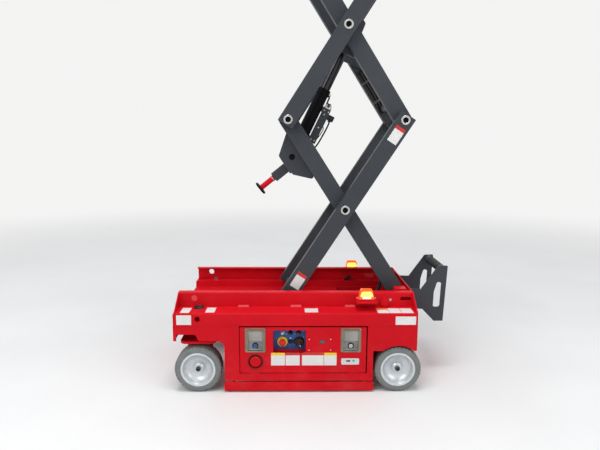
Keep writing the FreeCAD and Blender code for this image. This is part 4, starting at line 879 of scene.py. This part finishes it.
# black discs in the foot pin's holes are painted shade
for side in SIDES:
    turned(bm, side_board(FOOT_X, CHEEK_Y, FOOT_Z, side), PIN_HOLE_SHADE, 36, 1)
new_piece("post_trim", bm, "inner_1", grey_paint, black_paint, steel)

# %% [markdown]
# ## Cylinder fittings
# The valve block beside the barrel carries zinc unions, cap screws and a coil with
# its cable. Both cables and the port hose are fixed at both ends on the cylinder,
# so they swing with it as one piece. A hose is a circle swept along a smooth path
# through a few stops given along the cylinder's axis and away from it. Three more
# hoses lie side by side in two clamps on the second inner arm and enter it at both
# ends, so they ride on that arm alone.

# %% Hoses
EYE_X, EYE_Z = inner_point(2, ARM_L / 2, -60)
ALONG = Vector((EYE_X - FOOT_X, 0, EYE_Z - FOOT_Z)).normalized()
AWAY = Vector((ALONG.z, 0, -ALONG.x))


def cylinder_point(u, off, y=0):
    """A point in millimetres by its place along the cylinder, away from its axis and across."""
    return Vector((FOOT_X, y, FOOT_Z)) + u * ALONG + off * AWAY


def smooth(stops, steps):
    """A path through the stops, bent evenly between them."""
    ends = [2 * stops[0] - stops[1], *stops, 2 * stops[-1] - stops[-2]]
    path = []
    for a, b, c, d in zip(ends, ends[1:], ends[2:], ends[3:]):
        for k in range(steps):
            s = k / steps
            path.append(0.5 * (2 * b + (c - a) * s + (2 * a - 5 * b + 4 * c - d) * s * s
                               + (3 * b - a - 3 * c + d) * s ** 3))
    return path + [stops[-1]]


def hose(bm, stops, radius, paint=0, steps=7, sides=10):
    """A round hose along a smooth path through stops in millimetres, closed at its ends."""
    path = smooth([Vector(stop) for stop in stops], steps)
    rings, across = [], Vector(ACROSS)
    for i, point in enumerate(path):
        way = (path[min(i + 1, len(path) - 1)] - path[max(i - 1, 0)]).normalized()
        across = (across - across.dot(way) * way).normalized()
        other = way.cross(across)
        angles = [math.tau * k / sides for k in range(sides)]
        rings.append([bm.verts.new((point + radius * (math.cos(a) * across + math.sin(a) * other)) * MM)
                      for a in angles])
    skin(bm, rings, paint)
    for ring in (rings[0], rings[-1]):
        bm.faces.new(ring).material_index = paint


print("cylinder leans", round(math.degrees(math.atan2(ALONG.z, ALONG.x)), 1), "degrees")


# %% Unions, screws and cables
def cylinder_board(u, off, y=0, out=ALONG, up=ACROSS):
    """A drawing board at a place on the cylinder, facing along it or another way."""
    return board(cylinder_point(u, off, y), out, up)


ZINC, BLACK = 0, 1
UNION_U, UNIONS = 305, ((47, 15, 9), (68, 17, 11))  # off the axis, across flats, tall
PORT = ((5.4, -1), (5.4, 5), (6.6, 6), (6.6, 10), (0, 11))
SCREWS = ((270, 56), (290, 46), (290, 71), (196, 58), (126, 50), (126, 68))
LINES = (  # radius and stops
    (4.4, ((252, 97), (226, 100), (170, 98), (110, 92), (66, 76), (34, 52), (22, 30))),
    (2.4, ((214, 78, -8), (196, 86, -10), (150, 80, -12), (100, 62, -14), (62, 44, -14), (46, 32, -12))),
    (4.4, ((325, 44, -7), (344, 43, -9), (358, 42, -10), (368, 36, -8))))

bm = bmesh.new()
for off, size, tall in UNIONS:
    at = cylinder_board(UNION_U, off, -7)
    plate(bm, at, hexagon(size), 0, tall, 1, ZINC)
    turned(bm, at, [(radius, tall + over) for radius, over in PORT], 20, ZINC)
plate(bm, cylinder_board(UNION_U, 58.5), hexagon(26), 0, 7, 1, ZINC)
for u, off in SCREWS:
    for side in SIDES:
        at = cylinder_board(u, off, side * 16, (0, side, 0), ALONG)
        turned(bm, at, [(4.2, 0), (4.2, 2.4), (3.4, 3.2), (2, 3.2), (1.8, 1.4), (0, 1.4)], 18, ZINC)
coil = cylinder_board(268, 79, 0, AWAY, ALONG)
turned(bm, coil, [(14.6, 2), (15.2, 4), (15.2, 31), (13.6, 34), (0, 34)], 32, BLACK)
pad(bm, shift(coil, 0, -13, 17), (20, 16, 3), -8, 8, 2, BLACK)
for radius, stops in LINES:
    hose(bm, [cylinder_point(*stop) for stop in stops], radius, BLACK)
turned(bm, cylinder_board(371, 35, -6, AWAY, ALONG), [(7, 0), (7, 8), (5, 10), (0, 10)], 20, ZINC)
new_piece("cylinder_fittings", bm, "barrel", zinc, black_plastic)

# %% Hoses along an arm
BEAM_IN_Y, HOSE_OFF, HOSE_R, CLAMP_U = 105, (0, 16.5, 33), 7.6, (150, 268)
BUNDLE = ((84, 1), (98, 6.5), (130, 8.4), (210, 8.8), (290, 8.4), (320, 6.5), (334, 1))

bm = bmesh.new()
for n in HOSE_OFF:
    places = [(inner_point(2, u, n), BEAM_IN_Y - off) for u, off in BUNDLE]
    hose(bm, [(x, y, z) for (x, z), y in places], HOSE_R)
for u in CLAMP_U:
    x, z = inner_point(2, u, 15)
    pad(bm, board((x, BEAM_IN_Y, z), NEAR, (-COS, 0, SIN)), (53, 12, 3), 0.4, 18.4, 1, 1)
new_piece("arm_hoses", bm, "inner_2", black_plastic, dark_steel)

# %% [markdown]
# ## Small things on the deck
# Bent tabs stand where each wall meets its ledge, painted pale red as painted highlight.
# A rubber latch leans on the shelf behind the beacon, a pale red patch lies on the wall
# beside it and the wiring leaves the trough in two ribbed conduits. A rubber plug closes
# the hole in the ledge. They are small, but they are what breaks up the large red faces.

# %% Deck trim
WALL_OUT, WALL_IN, TAB_X, SHEET_BOLT_X = 270.5, 265.5, (-365, -102, 171), (292, 372)
PATCH = ((-36, 15.5), (36, 15.5), (18, -4), (-18, -15.5), (-24, -8))
GROMMET = [(0, -1.6), (22, -1.6), (24, 1), (25.6, 1.4), (27.4, 1), (28, 0)]

for side, name in SIDES.items():
    bm = bmesh.new()
    # the tabs are painted pale red as painted highlight
    for x in TAB_X:
        tab = board((x, side * (WALL_OUT + 4), LEDGE + 4), (0, side, 1))
        pad(bm, tab, (54, 12, 2), -3, 0.6, 0.6, 2, 3)
    lock = board((212, side * 226, 419), (0, -side, 0), (0.8, 0, 0.62))
    pad(bm, lock, (15, 46, 5), -7, 7, 2, 1)
    pad(bm, shift(lock, 0, 13), (19, 15, 3), -9, 9, 1.5, 1)
    patch = [Vector((-side * x, y)) for x, y in PATCH]
    plate(bm, board((346, side * WALL_IN, 421.5), (0, -side, 0)), patch[::-side], 0, 0.5, 0.2, 2)
    turned(bm, flat_board(-586, side * 286.5, LEDGE), GROMMET, 40, 1)
    for x in SHEET_BOLT_X:
        bolt(bm, side_board(x, WALL_OUT, 440, side), 9, 3, 3)
    new_piece("deck_trim_" + name, bm, "chassis", red_paint, black_plastic, pale_red, zinc)

# %% Conduit
bm = bmesh.new()
for y in (-14, 8):
    stops = [Vector(p) for p in ((318, y, 345), (330, y, 372), (350, y, 402), (362, y, 432), (368, y, 462))]
    hose(bm, stops, 8, 0, 10, 12)
    for point in smooth(stops, 6)[1::2]:
        rib = board(point, (0.35, 0, 0.94), ACROSS)
        turned(bm, rib, [(8, -1.6), (9.4, -0.8), (9.4, 0.8), (8, 1.6)], 14)
new_piece("conduit", bm, "chassis", black_plastic)

# %% [markdown]
# ## The platform
# The work floor is checker plate: rows of raised lens-shaped bars, each row turned
# against the next. They are a few tenths of a millimetre high, so they are drawn
# in the finish as bump, where crossed waves leave the short bars. The roll-out
# floor wears the same plate. The control box gets its lever, stop button and
# lamps, the rails get their weld collars and the gate its latch.

# %% Checker plate
def checker_plate():
    """Dark painted checker plate, its raised bars rubbed bright by boots."""
    f = new_finish("checker_plate")
    bars = (f.step(f.wave(9, "DIAGONAL"), 0.55, 0.8) * f.step(f.wave(11, "X"), 0.25, 0.6)
            * f.step(f.wave(11, "Y"), 0.25, 0.6))
    rub = f.step(f.noise(5, 5, 0.6), 0.45, 0.75)
    tone = f.blend(0.5 * bars * rub, (0.05, 0.054, 0.062), (0.24, 0.24, 0.24))
    return f.surface(Base_Color=tone, Roughness=0.5 + 0.15 * rub - 0.15 * bars * rub, Specular_IOR_Level=0.3,
                     Normal=f.bump(bars, 0.8, 0.0015, round_edges=0.0008))


checker = checker_plate()
for node in ("platform_deck", "extension_deck"):
    dress(node, checker)
    print("checker plate on", node)

# %% Control box
BOX_X, BOX_TOP = -618, 4269.1
LEVER = [(19, 8), (17.5, 16), (15, 22), (13.6, 26), (13.2, 72), (12.6, 79), (8, 82), (0, 82.3)]

bm = bmesh.new()
lever = board((BOX_X + 86, -40, BOX_TOP - 20), (18, 0, 80), ACROSS)
turned(bm, lever, LEVER, 28)
turned(bm, lever, [(23, 6), (22, 11), (18.6, 15), (17, 17.5)], 28)
stop = board((BOX_X + 92, 45, BOX_TOP + 16), (22, 0, 28), ACROSS)
turned(bm, stop, [(18.2, -9), (20.4, -6), (20.6, 0.6), (18, 3.6), (8, 5.2), (0, 5.4)], 36, 1)
turned(bm, stop, [(26, -28.5), (26, -24), (23, -22.6), (18, -22.6)], 36, 2)
face = board((BOX_X + 85, 0, BOX_TOP - 15), (0.832, 0, 0.555), ACROSS)
for off, tone in ((-2, 3), (10, 4)):
    turned(bm, shift(face, off), [(4.4, -1), (4, 2.2), (0, 3)], 18, tone)
new_piece("box_trim", bm, "extension", black_plastic, red_plastic, yellow_plastic, green_plastic,
          white_plastic, slot="black_plastic")

# %% Gate latch and rail joints
FLOOR_Z, RAIL_MID_Z, GATE_X, POST_Y = 3181.1, 3731.1, 603, 338


def collar(bm, at, radius, long):
    """A rounded collar round a tube, its board's Z along the tube."""
    half = long / 2
    turned(bm, at, [(radius - 2, -half), (radius, 1 - half), (radius, half - 1), (radius - 2, half)])


for side, name in SIDES.items():
    bm = bmesh.new()
    for x, ways in ((-647, (1,)), (0, (-1, 1)), (GATE_X, (-1, 1))):
        for way in ways:
            collar(bm, board((x + way * 17.5, side * POST_Y, RAIL_MID_Z), REAR), 18.6, 5)
        collar(bm, flat_board(x, side * POST_Y, FLOOR_Z + 4), 21, 8)
    new_piece("rail_trim_" + name, bm, "platform", grey_paint)

bm = bmesh.new()
latch = board((GATE_X, -300, RAIL_MID_Z + 220), REAR)
pad(bm, latch, (24, 46, 4), 12, 21, 1.5)
turned(bm, shift(latch, 0, 6), [(5, 20), (5, 24), (9, 26), (9, 32), (0, 33)], 24, 1)
new_piece("gate_latch", bm, "gate", zinc, black_plastic)

# %% [markdown]
# ## Ladder
# The ladder's grab tube and rung carry ribbed grip sleeves, each turned as one
# profile, and its plates are held by bolts with washers.

# %% Ladder grips and bolts
LADDER_TUBES = ((671, 560, 21), (657, 306, 15))  # x, z, radius
PLATE_Y, BOLT_X, BOLT_Z = 140, 502, (440, 374)
RIBS = [-96 + 8 * i for i in range(24)]

bm = bmesh.new()
for x, z, radius in LADDER_TUBES:
    low, high = radius + 0.4, radius + 1.8
    ribs = [point for y in RIBS for point in ((low, y), (high, y + 1.5), (high, y + 4.5), (low, y + 6))]
    turned(bm, board((x, 0, z), ACROSS), [(radius - 1, -97), *ribs, (radius - 1, 97)], 28)
for side in SIDES:
    for z in BOLT_Z:
        bolt(bm, side_board(BOLT_X, PLATE_Y, z, side), 13, 6, 1)
new_piece("ladder_trim", bm, "chassis", black_plastic, zinc)

# %% [markdown]
# ## In the bays
# With a door down, the batteries and the pump show. Each battery block has a lid
# seam, a row of vent caps on a raised strip and two lead posts, and a short cable
# links the blocks. The pump's tank gets its filler cap, its motor two clamp bands
# and an end cap. All of it is trim on the plain blocks of the solids.

# %% Batteries and pump
BATTERY_LONG, BATTERY_TOP, BATTERY_Y = 145, 300, (226.5, 346)
BATTERY_X, BATTERY_MID_Y = [low + BATTERY_LONG / 2 for low in (-40, 112)], sum(BATTERY_Y) / 2
TANK_MID, TANK_TOP, MOTOR_AXIS, MOTOR_R = (-315, 286.25), 247, (-225, 286.25, 172), 55
POST_X, POST_OUT, CAPS_IN = 54, 38, 14
LID, LEAD, CAP, CABLE, MOTOR = range(5)


def battery_trim(bm, x, side):
    """Lid, raised strip with vent caps and lead posts of one battery block."""
    top = flat_board(x, side * BATTERY_MID_Y, BATTERY_TOP)
    lid = (BATTERY_LONG + 0.6, BATTERY_Y[1] - BATTERY_Y[0] + 0.6, 4)
    pad(bm, top, lid, -17, 0.6, 1.2, LID)
    pad(bm, shift(top, 0, -side * CAPS_IN), (112, 30, 5), 0.4, 4, 1.2, LID)
    for step in (-36, 0, 36):
        cap = shift(top, step, -side * CAPS_IN, 3.6)
        turned(bm, cap, [(12, 0), (12, 3), (10.6, 4.6), (0, 4.8)], 20, CAP)
    for step in (-POST_X, POST_X):
        post = shift(top, step, side * POST_OUT)
        turned(bm, post, [(9.5, 0.5), (9.5, 2), (7.4, 3), (6.6, 11), (0, 11.4)], 22, LEAD)
        plate(bm, shift(post, 0, 0, 4), hexagon(17), 0, 4, 0.8, LEAD)


def pump_trim(bm):
    """Filler cap of the tank, clamp bands and end cap of the motor."""
    filler = flat_board(*TANK_MID, TANK_TOP)
    turned(bm, filler, [(24, 0), (24, 3), (19, 4), (19, 14), (17, 17), (0, 17.4)], 32, LEAD)
    motor, band = board(MOTOR_AXIS, REAR), MOTOR_R + 1.6
    for along in (14, 118):
        turned(bm, shift(motor, 0, 0, along), [(MOTOR_R, 0), (band, 1), (band, 13), (MOTOR_R, 14)], 48, MOTOR)
    end_cap = [(MOTOR_R, -2), (MOTOR_R - 2, 2), (30, 3), (14, 5), (0, 5)]
    turned(bm, shift(motor, 0, 0, 150), end_cap, 40, MOTOR)


for side, name in SIDES.items():
    bm = bmesh.new()
    for x in BATTERY_X:
        battery_trim(bm, x, side)
    y = side * (BATTERY_MID_Y + POST_OUT)
    start, end = BATTERY_X[0] + POST_X, BATTERY_X[1] - POST_X
    middle = (start + end) / 2
    hose(bm, ((start, y, 307), (middle - 8, y, 316), (middle + 8, y, 316), (end, y, 307)), 4.6, CABLE)
    if side > 0:
        pump_trim(bm)
    new_piece("bay_trim_" + name, bm, "chassis", black_plastic, steel, yellow_plastic, red_plastic, zinc_dark)
